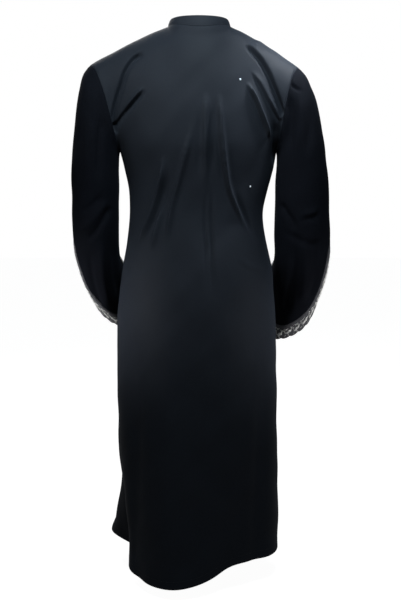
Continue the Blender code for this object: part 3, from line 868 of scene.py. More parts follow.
def collar_profile():
    """Rows up the outside, half a circle over the top edge, and rows down the inside."""
    rows = [collar_outer(t) for t in OUTER_STEPS]
    middle = rows[-1] + collar_in * COLLAR_WALL / 2
    for turn in ROLL_TURNS:
        rows.append(middle + (collar_in * -math.cos(turn) + UP * math.sin(turn)) * COLLAR_WALL / 2)
    rows += [collar_outer(t) + collar_in * COLLAR_WALL for t in INNER_STEPS]
    return np.array(rows).swapaxes(0, 1)


collar_grid = collar_profile()
along = length_of(collar_grid[:, 0])
around = length_of(collar_grid[0])
around = np.append(around, around[-1] + COLLAR_WALL)
collar_flat = np.stack(np.meshgrid(along, around, indexing="ij"), axis=-1).reshape(-1, 2)
faces, flat_faces = quads_of(*collar_grid.shape[:2], closed=True)
collar_piece = add_mesh("collar_band", collar_grid.reshape(-1, 3), faces, collar_flat[flat_faces], satin)
print("the collar's seam is", round(float(along[-1]), 3), "m long")

# %% [markdown]
# A closed profile leaves the collar's two ends open, so each gets a face of its own. The face is found from
# the mesh's open edges, which is surer than naming its corners.

# %% Close the collar's ends
solid = bmesh.new()
solid.from_mesh(collar_piece.data)
open_edges = [edge for edge in solid.edges if edge.is_boundary]
caps = bmesh.ops.holes_fill(solid, edges=open_edges, sides=0)["faces"]
bmesh.ops.recalc_face_normals(solid, faces=solid.faces)
solid.to_mesh(collar_piece.data)
solid.free()
collar_piece.data.shade_smooth()
print("the collar has", len(caps), "end faces")

# %% [markdown]
# ## The sleeves
# Each sleeve leaves the armhole round its whole edge, hangs down, turns forward at the elbow with the
# forearm, and opens to a bell. It is lofted along lengthwise lines. Each line starts at a point of the
# armhole, passes the slanted rings at the same angle, and ends at the same angle of the open end, so the
# cloth never twists. In the tables x is away from the body.

# %% The sleeves' rings
SLEEVE_RINGS = {  # mm: the outer point, the inner point, half the depth in y and in z
    "right": (
        (272, 0, -124, 200, 0, -318, 67, 0),
        (288.5, 0, -158, 199.5, 0, -338, 70, 0),
        (309, 0, -235, 197, 0, -378, 73, 2),
        (329.5, 0, -365, 196.5, 0, -448, 73, 6),
        (336.5, 0, -485, 195.5, 2, -518, 71, 20),
        (339.5, 6, -550, 197, 20, -580, 68, 44),
        (337, 18, -585, 192, 78, -644, 50, 78),
    ),
    "left": (
        (288, 0, -119, 199.5, 0, -318, 67, 0),
        (297.5, 0, -155, 200, 0, -338, 70, 0),
        (310, 0, -235, 200.5, 0, -378, 73, 2),
        (321, 0, -365, 201.5, 0, -448, 72, 6),
        (320, 0, -485, 202.5, 2, -518, 70, 20),
        (318.5, 6, -545, 201.5, 20, -578, 66, 42),
        (311, 18, -577, 194, 75, -640, 48, 72),
    ),
}
# The open ends in mm, round from the outer point over the forearm: outer, outer top, top, inner top, inner,
# inner bottom, bottom, outer bottom.
RIMS = {
    "right": (
        (330.4, 30, -598), (294, 124, -546), (236, 192, -572), (188, 216, -648),
        (167, 214, -710), (176, 176, -776), (219.8, 118, -811), (296, 72, -755),
    ),
    "left": (
        (303.8, 30, -590), (276, 120, -540), (230, 182, -570), (188, 204, -645),
        (166, 202, -694), (170, 166, -748), (204.5, 110, -774.5), (265.9, 68, -721),
    ),
}
print("rings in a sleeve:", len(SLEEVE_RINGS["right"]))

# %% The sleeves' form
ARMHOLE_ROWS = 70
LINE_STEPS = 300
SLEEVE_ROWS = 124
BORDER_WIDTH = 0.058
ARMHOLE_GAP = 0.0004
SEAM_SMOOTHING = 60


def armhole(side):
    """The armhole's edge: down the front from the shoulder tip to the underarm, then up the back."""
    across = np.array([SIDES[side]])
    heights = np.linspace(0, 1, ARMHOLE_ROWS + 1)
    front = yoke("front", across, heights)[::-1, 0]
    back = yoke("back", across, heights)[1:-1, 0]
    return np.concatenate([front, back])


def turns_of(loop):
    """Each point's angle round the armhole's middle, by arctan2: 0 at the tip and half a turn at the
    underarm."""
    tip = loop[0]
    underarm = loop[ARMHOLE_ROWS]
    half_way = (tip - underarm) / 2
    cos = (loop - (tip + underarm) / 2) @ half_way / (half_way @ half_way)
    depth = np.where(loop[:, 1] > 0, loop[:, 1].max(), -loop[:, 1].min())
    return np.arctan2(loop[:, 1] / depth, cos) % (2 * math.pi)


def slanted_ring(ring, turns):
    """An ellipse: the middle, plus half the width times the cosine, plus the half depth times the sine."""
    outer, inner, depth = (np.array(way) / MM_IN_M for way in (ring[:3], ring[3:6], (0, *ring[6:])))
    half_width = (outer - inner) / 2
    return (outer + inner) / 2 + half_width * np.cos(turns)[:, None] + depth * np.sin(turns)[:, None]


def rim_loop(side, turns):
    """The closed curve through the eight points of a sleeve's open end."""
    rows = np.array(RIMS[side]) / MM_IN_M
    knots = np.arange(-2, len(rows) + 3)
    return curve(knots, rows[knots % len(rows)], turns / (2 * math.pi) * len(rows))


def sleeve_lines(side):
    """Each lengthwise line, as a smooth curve through its points on the rings, read at even steps."""
    mirror = np.array([SIDES[side], 1.0, 1.0])
    first = armhole(side) * mirror
    turns = turns_of(first)
    rings = [first] + [slanted_ring(ring, turns) for ring in SLEEVE_RINGS[side]] + [rim_loop(side, turns)]
    rings = np.array(rings)
    spans = np.linalg.norm(np.diff(rings, axis=0), axis=-1).mean(axis=1)
    knots = np.concatenate([[0], np.cumsum(spans)])
    return curve(knots, rings, np.linspace(0, knots[-1], LINE_STEPS)) * mirror


def read_lines(lines, places):
    """Each line read at its own distances, one column of places for each line."""
    lengths = distances(lines)
    grid = np.empty(places.shape + (3,))
    for column in range(lines.shape[1]):
        for axis in range(3):
            grid[:, column, axis] = np.interp(places[:, column], lengths[:, column], lines[:, column, axis])
    return grid


def along_loop(loop):
    """The way along a closed line at each of its points."""
    return unit(np.roll(loop, -1, axis=0) - np.roll(loop, 1, axis=0))


def border_start(lines):
    """How far along each line the border begins, so that it is equally wide square to the open edge."""
    square = np.linalg.norm(np.cross(along_loop(lines[-1]), unit(lines[-1] - lines[-2])), axis=-1)
    for _ in range(SEAM_SMOOTHING):
        square = (np.roll(square, 1) + 2 * square + np.roll(square, -1)) / 4
    return distances(lines)[-1] - BORDER_WIDTH / square


lines_of = {side: sleeve_lines(side) for side in SIDES}
for side, lines in lines_of.items():
    lengths = distances(lines)[-1]
    print(side, "sleeve: lines of", lengths.min().round(3), "to", lengths.max().round(3), "m")

# %% [markdown]
# The sleeves crease where the arm bends and where the armhole pulls. As on the body, each crease is a path
# seen from behind or from in front, and a soft mask keeps it on its own half of the sleeve.

# %% The sleeves' creases
SLEEVE_CREASES = {  # in the same order as on the back
    ("right", "back"): (
        (-4.5, 5, 4, 0.2, 0.4, 224, -138, 234, -150, 249, -158, 262, -158),
        (-7, 11, 9, 0.25, 0.4, 222, -165, 229, -210, 228, -270, 218, -330),
        (4.5, 9, 15, 0.25, 0.4, 254, -165, 250, -210, 246, -270, 240, -340),
        (-4, 10, 11, 0.3, 0.4, 280, -180, 276, -250, 268, -330),
        (-6.5, 6, 7, 0.2, 0.3, 206, -432, 220, -458, 236, -483, 233, -512),
        (3.5, 5, 6, 0.3, 0.3, 255, -463, 275, -460, 302, -452),
        (-3.5, 5, 6, 0.3, 0.3, 250, -478, 275, -474, 306, -466),
        (-5, 8, 7, 0.3, 0.2, 214, -500, 244, -522, 280, -536, 312, -540),
        (5, 9, 11, 0.3, 0.2, 262, -500, 268, -560, 270, -620, 268, -700),
        (-6, 10, 10, 0.3, 0.2, 240, -520, 240, -590, 236, -660, 230, -740),
        (-5, 9, 10, 0.3, 0.2, 298, -520, 300, -580, 296, -650, 284, -700),
    ),
    ("left", "back"): (
        (-5, 8, 9, 0.25, 0.4, -236, -215, -242, -270, -246, -330, -246, -390),
        (3.8, 12, 9, 0.25, 0.4, -262, -200, -270, -280, -276, -360, -274, -420),
        (-7, 7, 7, 0.2, 0.25, -214, -440, -232, -470, -256, -506, -284, -532),
        (4.5, 7, 6, 0.25, 0.25, -222, -425, -244, -455, -270, -486, -298, -508),
        (-4, 6, 7, 0.3, 0.3, -236, -412, -262, -438, -296, -462),
        (4.5, 9, 11, 0.3, 0.2, -240, -510, -242, -570, -240, -640, -232, -710),
        (-5.5, 10, 9, 0.3, 0.2, -268, -540, -270, -600, -264, -660, -250, -720),
        (-4.5, 8, 9, 0.3, 0.2, -214, -520, -212, -580, -208, -650, -200, -700),
    ),
    ("right", "front"): (
        (-6, 6, 8, 0.25, 0.25, 208, -462, 236, -490, 270, -502, 306, -498),
        (5, 8, 8, 0.25, 0.25, 212, -440, 244, -462, 280, -470, 312, -462),
        (-5.5, 7, 7, 0.25, 0.25, 214, -418, 246, -436, 290, -438),
        (-4, 9, 10, 0.3, 0.4, 240, -180, 246, -260, 242, -350),
        (3.5, 11, 11, 0.3, 0.4, 270, -190, 276, -270, 274, -370),
    ),
    ("left", "front"): (
        (-6, 8, 6, 0.25, 0.25, -210, -458, -238, -486, -268, -496, -300, -490),
        (4.8, 8, 8, 0.25, 0.25, -212, -436, -242, -458, -276, -464, -304, -456),
        (-5, 7, 7, 0.25, 0.25, -216, -412, -246, -430, -282, -430),
        (-4, 10, 9, 0.3, 0.4, -242, -185, -250, -262, -246, -350),
        (3.5, 11, 11, 0.3, 0.4, -272, -192, -280, -272, -278, -365),
    ),
}
print("creases on the sleeves:", sum(len(rows) for rows in SLEEVE_CREASES.values()))

# %% The sleeves
ARM_SEAM = (0.0, 0.002, 0.006)  # close rows next to the two seams, as shares of the length
BORDER_SEAM = (0.995, 1.0)
SLEEVE_SPAN = (0.012, 0.99)
HALVES_BLEND = 1.4  # how fast the creases of one half give way to those of the other


def sleeve_form(side):
    """A sleeve from its armhole to its border, with its creases faded between its back and front halves."""
    lines = lines_of[side]
    ends = border_start(lines)
    share = np.concatenate([ARM_SEAM, np.linspace(*SLEEVE_SPAN, SLEEVE_ROWS), BORDER_SEAM])
    grid = read_lines(lines, blend(ARMHOLE_GAP, ends - ARMHOLE_GAP, share[:, None]))
    out = normals(grid, closed=True) * -SIDES[side]
    to_back = smoothstep(0.5 - out[..., 1] * HALVES_BLEND)
    shape = crease_heights(grid, SLEEVE_CREASES[side, "back"]) * to_back
    shape = shape + crease_heights(grid, SLEEVE_CREASES[side, "front"]) * (1 - to_back) + ripples(grid)
    grid = shaped(grid, out, from_edges(grid, ("first", "last"), ()), shape)
    return Cloth(grid, normals(grid, closed=True) * -SIDES[side])


def closed_map(grid):
    """The flat map of a tube: u is the distance round its middle row, and v the distance down its first
    line."""
    ring = grid[grid.shape[0] // 2]
    u = length_of(np.concatenate([ring, ring[:1]]))
    return np.stack(np.meshgrid(u, length_of(grid[:, 0]), indexing="xy"), axis=-1)


sleeve_forms = {side: sleeve_form(side) for side in SIDES}
sleeve_pieces = {}
for side, form in sleeve_forms.items():
    cloth = form.turned("first row", SEAM_TURN, 2).turned("last row", SEAM_TURN, 2)
    cloth.flat = closed_map(cloth.grid)
    sleeve_pieces[side] = add_cloth(f"sleeve_cloth_{side}", cloth, matt, CLOTH_WALL, True, side == "right")

# %% [markdown]
# ## The net border
# The sleeves end in a band of fine net, sewn on under the turned edge of the sleeve, with a scalloped free
# edge. The net is too fine to model thread by thread, so it is a thin sheet whose finish shows the mesh of
# small holes. Its surface is kept as a grid that can be read at any place, because the embroidery sits on
# it.

# %% The net's finish
NET_SPACING = 0.0011
NET_WOBBLE = 0.2
NET_TURNS = (45.0, -45.0)  # degrees
NET_BUMP = (0.0002, 0.6)

net_finish = Finish("fine net")
rising, falling = (
    net_finish.threads(net_finish.flat(turn), NET_SPACING, "X", NET_WOBBLE) for turn in NET_TURNS
)
mesh_lines = net_finish.joined("MAXIMUM", rising, falling)
net = net_finish.look({
    "Base Color": net_finish.two_tones(mesh_lines, (0.006, 0.006, 0.007), (0.085, 0.085, 0.098)),
    "Roughness": net_finish.ranged(net_finish.noise(40.0), 0.55, 0.75),
    "Normal": net_finish.bump(mesh_lines, *NET_BUMP),
    "Sheen Weight": 0.15,
    "Sheen Roughness": 0.4,
})
print("the net's threads are", round(NET_SPACING * MM_IN_M, 1), "mm apart, on the bias")

# %% The border's surface
BORDER_COLUMNS = 324
BORDER_ROWS = 20
SCALLOP = 0.027
SCALLOP_DEPTH = 0.0050
SCALLOP_ROUND = 0.6  # less than 1 makes the scallops rounder


def scallops(count, places):
    """How deep the free edge is cut back: 0 at the middle of a scallop and SCALLOP_DEPTH between two."""
    wave = np.abs(np.sin(math.pi * count * places))
    return SCALLOP_DEPTH * (1 - wave**SCALLOP_ROUND)


class Border:
    """One sleeve's border surface, which can be read at places round it and distances down from its
    seam."""

    def __init__(self, side):
        """Lines are put between the sleeve's own, so that they are evenly spaced along the open end."""
        lines = lines_of[side]
        far = length_of(np.concatenate([lines[-1], lines[-1][:1]]))
        places = np.arange(BORDER_COLUMNS) / BORDER_COLUMNS * far[-1]
        wrapped = np.concatenate([lines, lines[:, :1]], axis=1)
        starts = border_start(lines)
        starts = np.interp(places, far, np.append(starts, starts[0]))
        column = np.clip(np.searchsorted(far, places, side="right") - 1, 0, len(far) - 2)
        share = ((places - far[column]) / (far[column + 1] - far[column]))[None, :, None]
        lines = blend(wrapped[:, column], wrapped[:, column + 1], share)
        down = np.linspace(0, 1, BORDER_ROWS + 1)[:, None]
        self.grid = read_lines(lines, blend(starts, distances(lines)[-1], down))
        self.out = normals(self.grid, closed=True) * -SIDES[side]
        self.around = float(far[-1])
        self.count = round(self.around / SCALLOP)

    def read(self, places, down):
        """Points and normals, mixed from the four nearest of the grid. places go from 0 to 1 round the
        rim."""
        columns = self.grid.shape[1]
        u = (places % 1.0) * columns
        v = np.clip(down / BORDER_WIDTH, 0, 1) * (self.grid.shape[0] - 1)
        left = np.floor(u).astype(int) % columns
        right = (left + 1) % columns
        top = np.minimum(np.floor(v).astype(int), self.grid.shape[0] - 2)
        across = (u - np.floor(u))[..., None]
        below = (v - top)[..., None]
        found = []
        for array in (self.grid, self.out):
            upper = blend(array[top, left], array[top, right], across)
            lower = blend(array[top + 1, left], array[top + 1, right], across)
            found.append(blend(upper, lower, below))
        return found[0], unit(found[1])


borders = {side: Border(side) for side in SIDES}
for side, border in borders.items():
    print(side, "border:", border.count, "scallops round", round(border.around, 3), "m")

# %% The net border
NET_WALL = 0.0005
NET_STEPS = 16
TUCK = 0.006  # how far the net goes under the sleeve
TUCK_DEPTH = 0.0022
TUCK_SOFTNESS = 0.0030
TUCK_FOLD = 0.4  # of a row's height above the seam

border_pieces = {}
for side, border in borders.items():
    places = np.arange(BORDER_COLUMNS) / BORDER_COLUMNS
    down = np.linspace(0, 1, NET_STEPS + 1)[:, None] * (BORDER_WIDTH - scallops(border.count, places))
    grid, out = border.read(np.broadcast_to(places, down.shape), down)
    above, above_out = grid[:1], out[:1]
    tucked = above - (grid[1:2] - above) * TUCK / (BORDER_WIDTH / NET_STEPS) - above_out * TUCK_DEPTH
    near = above - above_out * TUCK_DEPTH
    soft = grid - out * (TUCK_DEPTH * np.exp(-((down / TUCK_SOFTNESS) ** 2)))[..., None]
    grid = np.concatenate([tucked, near - (grid[1:2] - above) * TUCK_FOLD, soft])
    cloth = Cloth(grid, None, closed_map(grid))
    border_pieces[side] = add_cloth(f"net_border_{side}", cloth, net, NET_WALL, True, side == "right")

# %% [markdown]
# ## Embroidery on the net
# The net is worked with pale flowers and leaves on a winding stem, one flower to a scallop. Each petal and
# leaf of satin stitch is a low mound with pointed ends. One small closed spindle is worked out once, then
# turned, stretched and laid out hundreds of times as one array, and the whole array is bent onto the
# border.


# %% Spindles, the shape of a petal, a leaf and a stitch
def ring_turns(sides):
    """Evenly spaced angles round a ring."""
    return np.arange(sides) / sides * 2 * math.pi


def capped(rings, sides):
    """The triangles between rings of points, and between each end ring and its own middle. The two middles
    are the last two points."""
    quads = quads_of(rings, sides, closed=True)[0]
    column = np.arange(sides)
    after = (column + 1) % sides
    last = (rings - 1) * sides
    low_cap = np.stack([np.full(sides, rings * sides), after, column], axis=-1)
    high_cap = np.stack([np.full(sides, rings * sides + 1), column + last, after + last], axis=-1)
    return np.concatenate([quads[:, [0, 1, 2]], quads[:, [0, 2, 3]], low_cap, high_cap])


def outwards(points, triangles):
    """The triangles, turned round if the form they enclose would be inside out."""
    corners = points[triangles]
    volume = np.einsum("ij,ij->i", corners[:, 0], np.cross(corners[:, 1], corners[:, 2])).sum()
    return triangles if volume > 0 else triangles[:, ::-1]


def spindle(rings, sides):
    """A closed form from -1 to 1: the radius is the sine of the way along, and each end is one point. It
    gives the points as (along, side, up) and the triangles as numbers of its points."""
    way = np.linspace(0, math.pi, rings + 2)[1:-1, None]
    turn = ring_turns(sides)
    body = np.broadcast_arrays(-np.cos(way), np.sin(way) * np.cos(turn), np.sin(way) * np.sin(turn))
    points = np.concatenate([np.stack(body, axis=-1).reshape(-1, 3), [[-1, 0, 0], [1, 0, 0]]])
    return points, outwards(points, capped(rings, sides))


petal_points, petal_faces = spindle(5, 8)
stitch_points, stitch_faces = spindle(2, 5)
print("a petal has", len(petal_faces), "triangles and a stitch", len(stitch_faces))

# %% The embroidery thread's finish
TWIST_SPACING = 0.0004
TWIST_WOBBLE = 0.3
TWIST_SPREAD = (0.0, 0.35)
THREAD_CLOUD, THREAD_SPREAD = (120.0, 2.0), (-0.1, 0.9)
THREAD_BUMP = (0.00015, 0.5)


def thread_finish(name, dark, light, low, high):
    """Shiny twisted thread: fine bands across the stitches for the bump, and a cloud of tone."""
    finish = Finish(name)
    bands = finish.threads(finish.flat(), TWIST_SPACING, "X", TWIST_WOBBLE)
    cloud = finish.noise(*THREAD_CLOUD)
    tone = finish.joined("ADD", finish.ranged(bands, *TWIST_SPREAD), finish.ranged(cloud, *THREAD_SPREAD))
    return finish.look({
        "Base Color": finish.two_tones(tone, dark, light),
        "Roughness": finish.ranged(cloud, low, high),
        "Normal": finish.bump(bands, *THREAD_BUMP),
    })


pale_thread = thread_finish("pale thread", (0.66, 0.66, 0.64), (0.92, 0.92, 0.90), 0.35, 0.55)
black_thread = thread_finish("black thread", (0.010, 0.010, 0.012), (0.030, 0.030, 0.034), 0.40, 0.60)
print("threads:", pale_thread.name, "and", black_thread.name)

# %% The embroidery's motifs
# One motif, laid flat. Each row is the middle of a stitched mound, along the border and down from the
# flower's middle, its half length and half width and its height, all in mm, and its direction in degrees.
PETALS = 5
PETAL_REACH = 4.6
flower = []
for degrees in range(90, 450, 360 // PETALS):
    turn = math.radians(degrees)
    flower.append((PETAL_REACH * math.cos(turn), PETAL_REACH * math.sin(turn), 4.6, 3.3, 1.3, degrees))
flower += [
    (0.0, 0.0, 1.9, 1.9, 2.1, 0),
    (-4.6, 12.8, 2.6, 1.4, 0.9, 125),
    (4.8, 12.6, 2.6, 1.4, 0.9, 55),
    # the sprig above the flower
    (0.4, -13.6, 3.4, 1.4, 0.9, 88),
    (-4.0, -17.6, 2.6, 1.2, 0.9, 55),
    (4.6, -19.0, 2.6, 1.2, 0.9, 125),
    # the small bloom between two flowers
    (13.4, -13.8, 2.3, 1.4, 1.0, 90),
    (11.4, -17.0, 2.3, 1.4, 1.0, 30),
    (15.4, -17.0, 2.3, 1.4, 1.0, -30),
]
FLOWER_DOWN = (35.5, 39.0)  # mm below the seam, for one flower and the next
MOUND_LIFT = 0.0002
MOUND_LIMITS = (0.004, BORDER_WIDTH - 0.006)
MOTIF_SIZES = (0.88, 1.12)
TILT_DEGREES_MOST = 14
rng = np.random.default_rng(11)


def mounds(border):
    """All the mounds of one border as flat rows: each flower's list, moved, turned and sized a little
    differently from the last."""
    table = np.array(flower)
    degrees = table[:, 5]
    table = table[:, :5] / MM_IN_M
    laid = []
    for number in range(border.count):
        size = rng.uniform(*MOTIF_SIZES, (len(table), 1))
        tilt = rng.uniform(-TILT_DEGREES_MOST, TILT_DEGREES_MOST)
        cos, sin = math.cos(math.radians(tilt)), math.sin(math.radians(tilt))
        s = table[:, 0] * cos - table[:, 1] * sin + (number + 0.5) / border.count * border.around
        t = table[:, 0] * sin + table[:, 1] * cos + FLOWER_DOWN[number % 2] / MM_IN_M
        laid.append(np.stack([s, t, *(table[:, 2:] * size).T, degrees + tilt], axis=-1))
    laid = np.concatenate(laid)
    laid[:, 1] = np.clip(laid[:, 1], *MOUND_LIMITS)
    return laid


def laid_spindles(table, points):
    """A copy of the spindle for each row of the table: stretched by its three half sizes and turned
    flat."""
    s, t, length, width, height, degrees = (column[:, None] for column in table.T)
    turn = np.radians(degrees)
    along, side, up = points[:, 0] * length, points[:, 1] * width, points[:, 2] * height
    return np.stack([s + along * np.cos(turn) - side * np.sin(turn),
                     t + along * np.sin(turn) + side * np.cos(turn), up + MOUND_LIFT], axis=-1)


def many(count, faces, points_each):
    """The faces of one form, repeated for each of its copies."""
    return (faces[None] + np.arange(count)[:, None, None] * points_each).reshape(-1, faces.shape[1])


embroidery_pieces = {}
for side, border in borders.items():
    table = mounds(border)
    flat = laid_spindles(table, petal_points)
    points, out = border.read(flat[..., 0] / border.around, flat[..., 1])
    faces = many(len(table), petal_faces, len(petal_points))
    faces = faces[:, ::-1] if side == "right" else faces
    own = (petal_points[:, :2] * table[:, None, 2:4] + table[:, None, :2]).reshape(-1, 2)
    shape = (points + out * flat[..., 2:]).reshape(-1, 3)
    embroidery_pieces[side] = add_mesh(f"embroidery_{side}", shape, faces, own[faces], pale_thread)
    print(side, "embroidery:", len(table), "mounds and", len(faces), "triangles")

# %% [markdown]
# ## Stems and edge cords
# A winding stem joins the flowers, and a thin cord is laid along the scalloped edge, in black, so the band
# has a firm dark outline. Both are round profiles carried along a closed path on the border.

# %% Stems and edge cords
CORD_SIDES = 6
STEM_RADIUS = 0.00055
CORD_RADIUS = 0.00085
CORD_INSET = 0.0004
STEM_DOWN = 0.0330
STEM_SWING = 0.0070
PLACES_PER_SCALLOP = 24


def closed_tube(path, out, radius):
    """A ring of points round each place of a closed path: the outward way times the cosine plus the side
    way times the sine, times the radius."""
    along_path = along_loop(path)
    sideways = unit(np.cross(along_path, out))
    up = np.cross(sideways, along_path)
    turn = ring_turns(CORD_SIDES)[:, None]
    return path[:, None] + radius * (up[:, None] * np.cos(turn) + sideways[:, None] * np.sin(turn))


def add_tube(name, path, out, radius, finish):
    """A closed cord as a mesh, with its faces outwards and a map in metres."""
    rings = closed_tube(path, out, radius)
    faces, flat_faces = quads_of(len(rings) + 1, CORD_SIDES, closed=True)
    far = length_of(np.concatenate([rings, rings[:1]])[:, 0])
    round_it = np.arange(CORD_SIDES + 1) / CORD_SIDES * 2 * math.pi * radius
    flat = np.stack(np.meshgrid(far, round_it, indexing="ij"), axis=-1).reshape(-1, 2)[flat_faces]
    points = rings.reshape(-1, 3)
    faces = faces % len(points)
    corners = points[faces]
    middle = rings.mean(axis=1)[faces[:, 0] // CORD_SIDES]
    facing = np.cross(corners[:, 1] - corners[:, 0], corners[:, 2] - corners[:, 0])
    if ((corners.mean(axis=1) - middle) * facing).sum() < 0:
        faces, flat = faces[:, ::-1], flat[:, ::-1]
    return add_mesh(name, points, faces, flat, finish)


trim_pieces = {}
for side, border in borders.items():
    places = np.linspace(0, 1, border.count * PLACES_PER_SCALLOP, endpoint=False)
    edge, out = border.read(places, BORDER_WIDTH - scallops(border.count, places) - CORD_INSET)
    cord = add_tube(f"edge_cord_{side}", edge, out, CORD_RADIUS, black_thread)
    wave = np.sin(math.pi * border.count * places * 2)
    stem, out = border.read(places, STEM_DOWN + STEM_SWING * wave)
    stem = add_tube(f"stem_{side}", stem + out * STEM_RADIUS, out, STEM_RADIUS, pale_thread)
    trim_pieces[side] = [cord, stem]
print("cords and stems:", sum(len(pieces) for pieces in trim_pieces.values()))

# %% [markdown]
# ## Stitches
# Rows of stitching hold the hems, the front edges, the collar and the sleeves' ends. They are black on
# black and show only close by, as rows of small shining dashes sunk between two holes. Each row is one
# array of spindles along a line on the cloth.

# %% Stitches
STITCH_PITCH = 0.0034
STITCH_LENGTH = 0.00125
STITCH_WIDTH = 0.00024
HEM_STITCH = 0.020
FRONT_STITCH = 0.024
SLEEVE_STITCH = 0.003
COLLAR_STITCHES = {"upper": 0.90, "lower": 0.09}  # how far up the collar


def stitch_row(name, path, out, closed=False):
    """Spindles end to end along a line, lying on the cloth: each has its own way along, side way and up."""
    if closed:
        path = np.concatenate([path, path[:1]])
        out = np.concatenate([out, out[:1]])
    far = length_of(path)
    places = np.arange(STITCH_PITCH, far[-1] - STITCH_PITCH / 2, STITCH_PITCH)
    middle, up, way = (np.stack([np.interp(places, far, array[:, axis]) for axis in range(3)], axis=-1)
                       for array in (path, out, np.gradient(path, axis=0)))
    up, way = unit(up), unit(way)
    side_way = unit(np.cross(up, way))
    local = stitch_points * (STITCH_LENGTH, STITCH_WIDTH, STITCH_WIDTH)
    frame_ways = np.stack([way, side_way, np.cross(way, side_way)], axis=1)
    shape = middle[:, None] + local @ frame_ways + up[:, None] * STITCH_WIDTH * 0.5
    faces = many(len(places), stitch_faces, len(stitch_points))
    own = np.broadcast_to(local[None, :, :2], (len(places), len(local), 2)) + places[:, None, None]
    return add_mesh(name, shape.reshape(-1, 3), faces, own.reshape(-1, 2)[faces], black_thread)


stitches = [stitch_row("hem_stitches_back", *back_form.line_at("first row", HEM_STITCH))]
for side, edge in (("right", "last column"), ("left", "first column")):
    form = front_forms[side]
    stitches.append(stitch_row(f"hem_stitches_{side}", *form.line_at("first row", HEM_STITCH)))
    stitches.append(stitch_row(f"front_stitches_{side}", *form.line_at(edge, FRONT_STITCH)))
    line = sleeve_forms[side].line_at("last row", SLEEVE_STITCH)
    stitches.append(stitch_row(f"sleeve_end_stitches_{side}", *line, closed=True))
collar_out = unit(-collar_in + np.array([0, 0, COLLAR_LEAN]))
for name, share in COLLAR_STITCHES.items():
    stitches.append(stitch_row(f"collar_stitches_{name}", collar_outer(share), collar_out))
print("rows of stitches:", len(stitches))

# %% [markdown]
# ## Two small stones
# Two clear stones a few millimetres across catch the light on the back. Each is cut like a shallow
# brilliant: a flat table, a slanted crown and a girdle, set in a thin metal cup that sits on the cloth.

# %% Two small stones
STONE_SIDES = 10
STONE_RADIUS = 0.0024
STONE_PLACES = {"upper": (0.1017, -0.1348), "lower": (0.1290, -0.3951)}  # x and z, seen from behind
STONE_PROFILE = ((0.94, 0.0000), (1.0, 0.0006), (1.0, 0.0009), (0.62, 0.0019))  # share of the radius, height
CUP_PROFILE = ((1.02, -0.0004), (1.10, 0.0002), (1.06, 0.0008), (0.99, 0.0006))

glass = Finish("clear stone")
facet_tone = glass.two_tones(glass.noise(900.0, 1.0), (0.55, 0.58, 0.62), (0.95, 0.96, 1.0))
stone_glass = glass.look({"Roughness": 0.06, "Specular IOR Level": 0.9, "Base Color": facet_tone})
metal = Finish("stone cup")
brushed = metal.ranged(metal.noise(400.0), 0.2, 0.4)
cup_metal = metal.look({"Metallic": 1.0, "Roughness": brushed, "Base Color": (0.62, 0.62, 0.63, 1.0)})


def turned_form(name, place, out, profile, finish):
    """A profile turned round the outward way, with a flat face at its bottom and top, and flat facets."""
    sideways = unit(np.cross(out, UP))
    turn = ring_turns(STONE_SIDES)[:, None]
    ring = sideways * np.cos(turn) + np.cross(out, sideways) * np.sin(turn)
    rings = np.array([place + ring * STONE_RADIUS * share + out * height for share, height in profile])
    points = np.concatenate([rings.reshape(-1, 3), rings[:1].mean(axis=1), rings[-1:].mean(axis=1)])
    faces = outwards(points - points.mean(axis=0), capped(len(rings), STONE_SIDES))
    piece = add_mesh(name, points, faces, points[:, [0, 2]][faces], finish)
    piece.data.shade_flat()
    return piece


stones = []
for name, (x, z) in STONE_PLACES.items():
    near = ((back_form.grid[..., [0, 2]] - (x, z)) ** 2).sum(axis=-1).argmin()
    place = back_form.grid.reshape(-1, 3)[near]
    out = back_form.out.reshape(-1, 3)[near]
    stones.append(turned_form(f"stone_{name}", place, out, STONE_PROFILE, stone_glass))
    stones.append(turned_form(f"stone_cup_{name}", place, out, CUP_PROFILE, cup_metal))
print("stones at", ", ".join(str(place) for place in STONE_PLACES.values()))

# %% [markdown]
# ## The floor
# The garment hangs in front of plain pale paper. The paper and the room are bright where they are seen and
# dim where they light the cloth, so that white paper doesn't throw its light back onto black cloth. This is
# the same from every side.

# %% The floor
FLOOR_Z = -1.43
FLOOR_HALF = 9.0
PAPER_SEEN, PAPER_LIT = 0.97, 0.15
ROOM_LIT = ((0.90, 0.95, 1.0, 1.0), 0.05)  # colour and strength
ROOM_SEEN = ((1.0, 1.0, 1.0, 1.0), 1.0)


def seen_and_lit(tree, seen, lit, output):
    """One shader for what is seen and another for the light that it gives."""
    ray = tree.nodes.new("ShaderNodeLightPath")
    both = tree.nodes.new("ShaderNodeMixShader")
    tree.links.new(ray.outputs["Is Camera Ray"], both.inputs["Fac"])
    tree.links.new(lit.outputs[0], both.inputs[1])
    tree.links.new(seen.outputs[0], both.inputs[2])
    tree.links.new(both.outputs["Shader"], output.inputs["Surface"])


paper = Finish("pale paper")
paper.look({
    "Base Color": paper.two_tones(paper.noise(0.6, 1.0), (0.30, 0.30, 0.30), (0.32, 0.32, 0.32)),
    "Roughness": 0.9,
    "Emission Color": (1.0, 1.0, 1.0, 1.0),
    "Emission Strength": PAPER_SEEN,
})
quiet = paper.tree.nodes.new("ShaderNodeEmission")
quiet.inputs["Strength"].default_value = PAPER_LIT
seen_and_lit(paper.tree, paper.shader, quiet, paper.tree.nodes["Material Output"])
corners = np.array([[-1, -1], [1, -1], [1, 1], [-1, 1]]) * FLOOR_HALF
floor_points = np.column_stack([corners, np.full(4, FLOOR_Z)])
floor = add_mesh("floor", floor_points, np.array([[0, 1, 2, 3]]), corners[None], paper.material)
made.remove(floor)

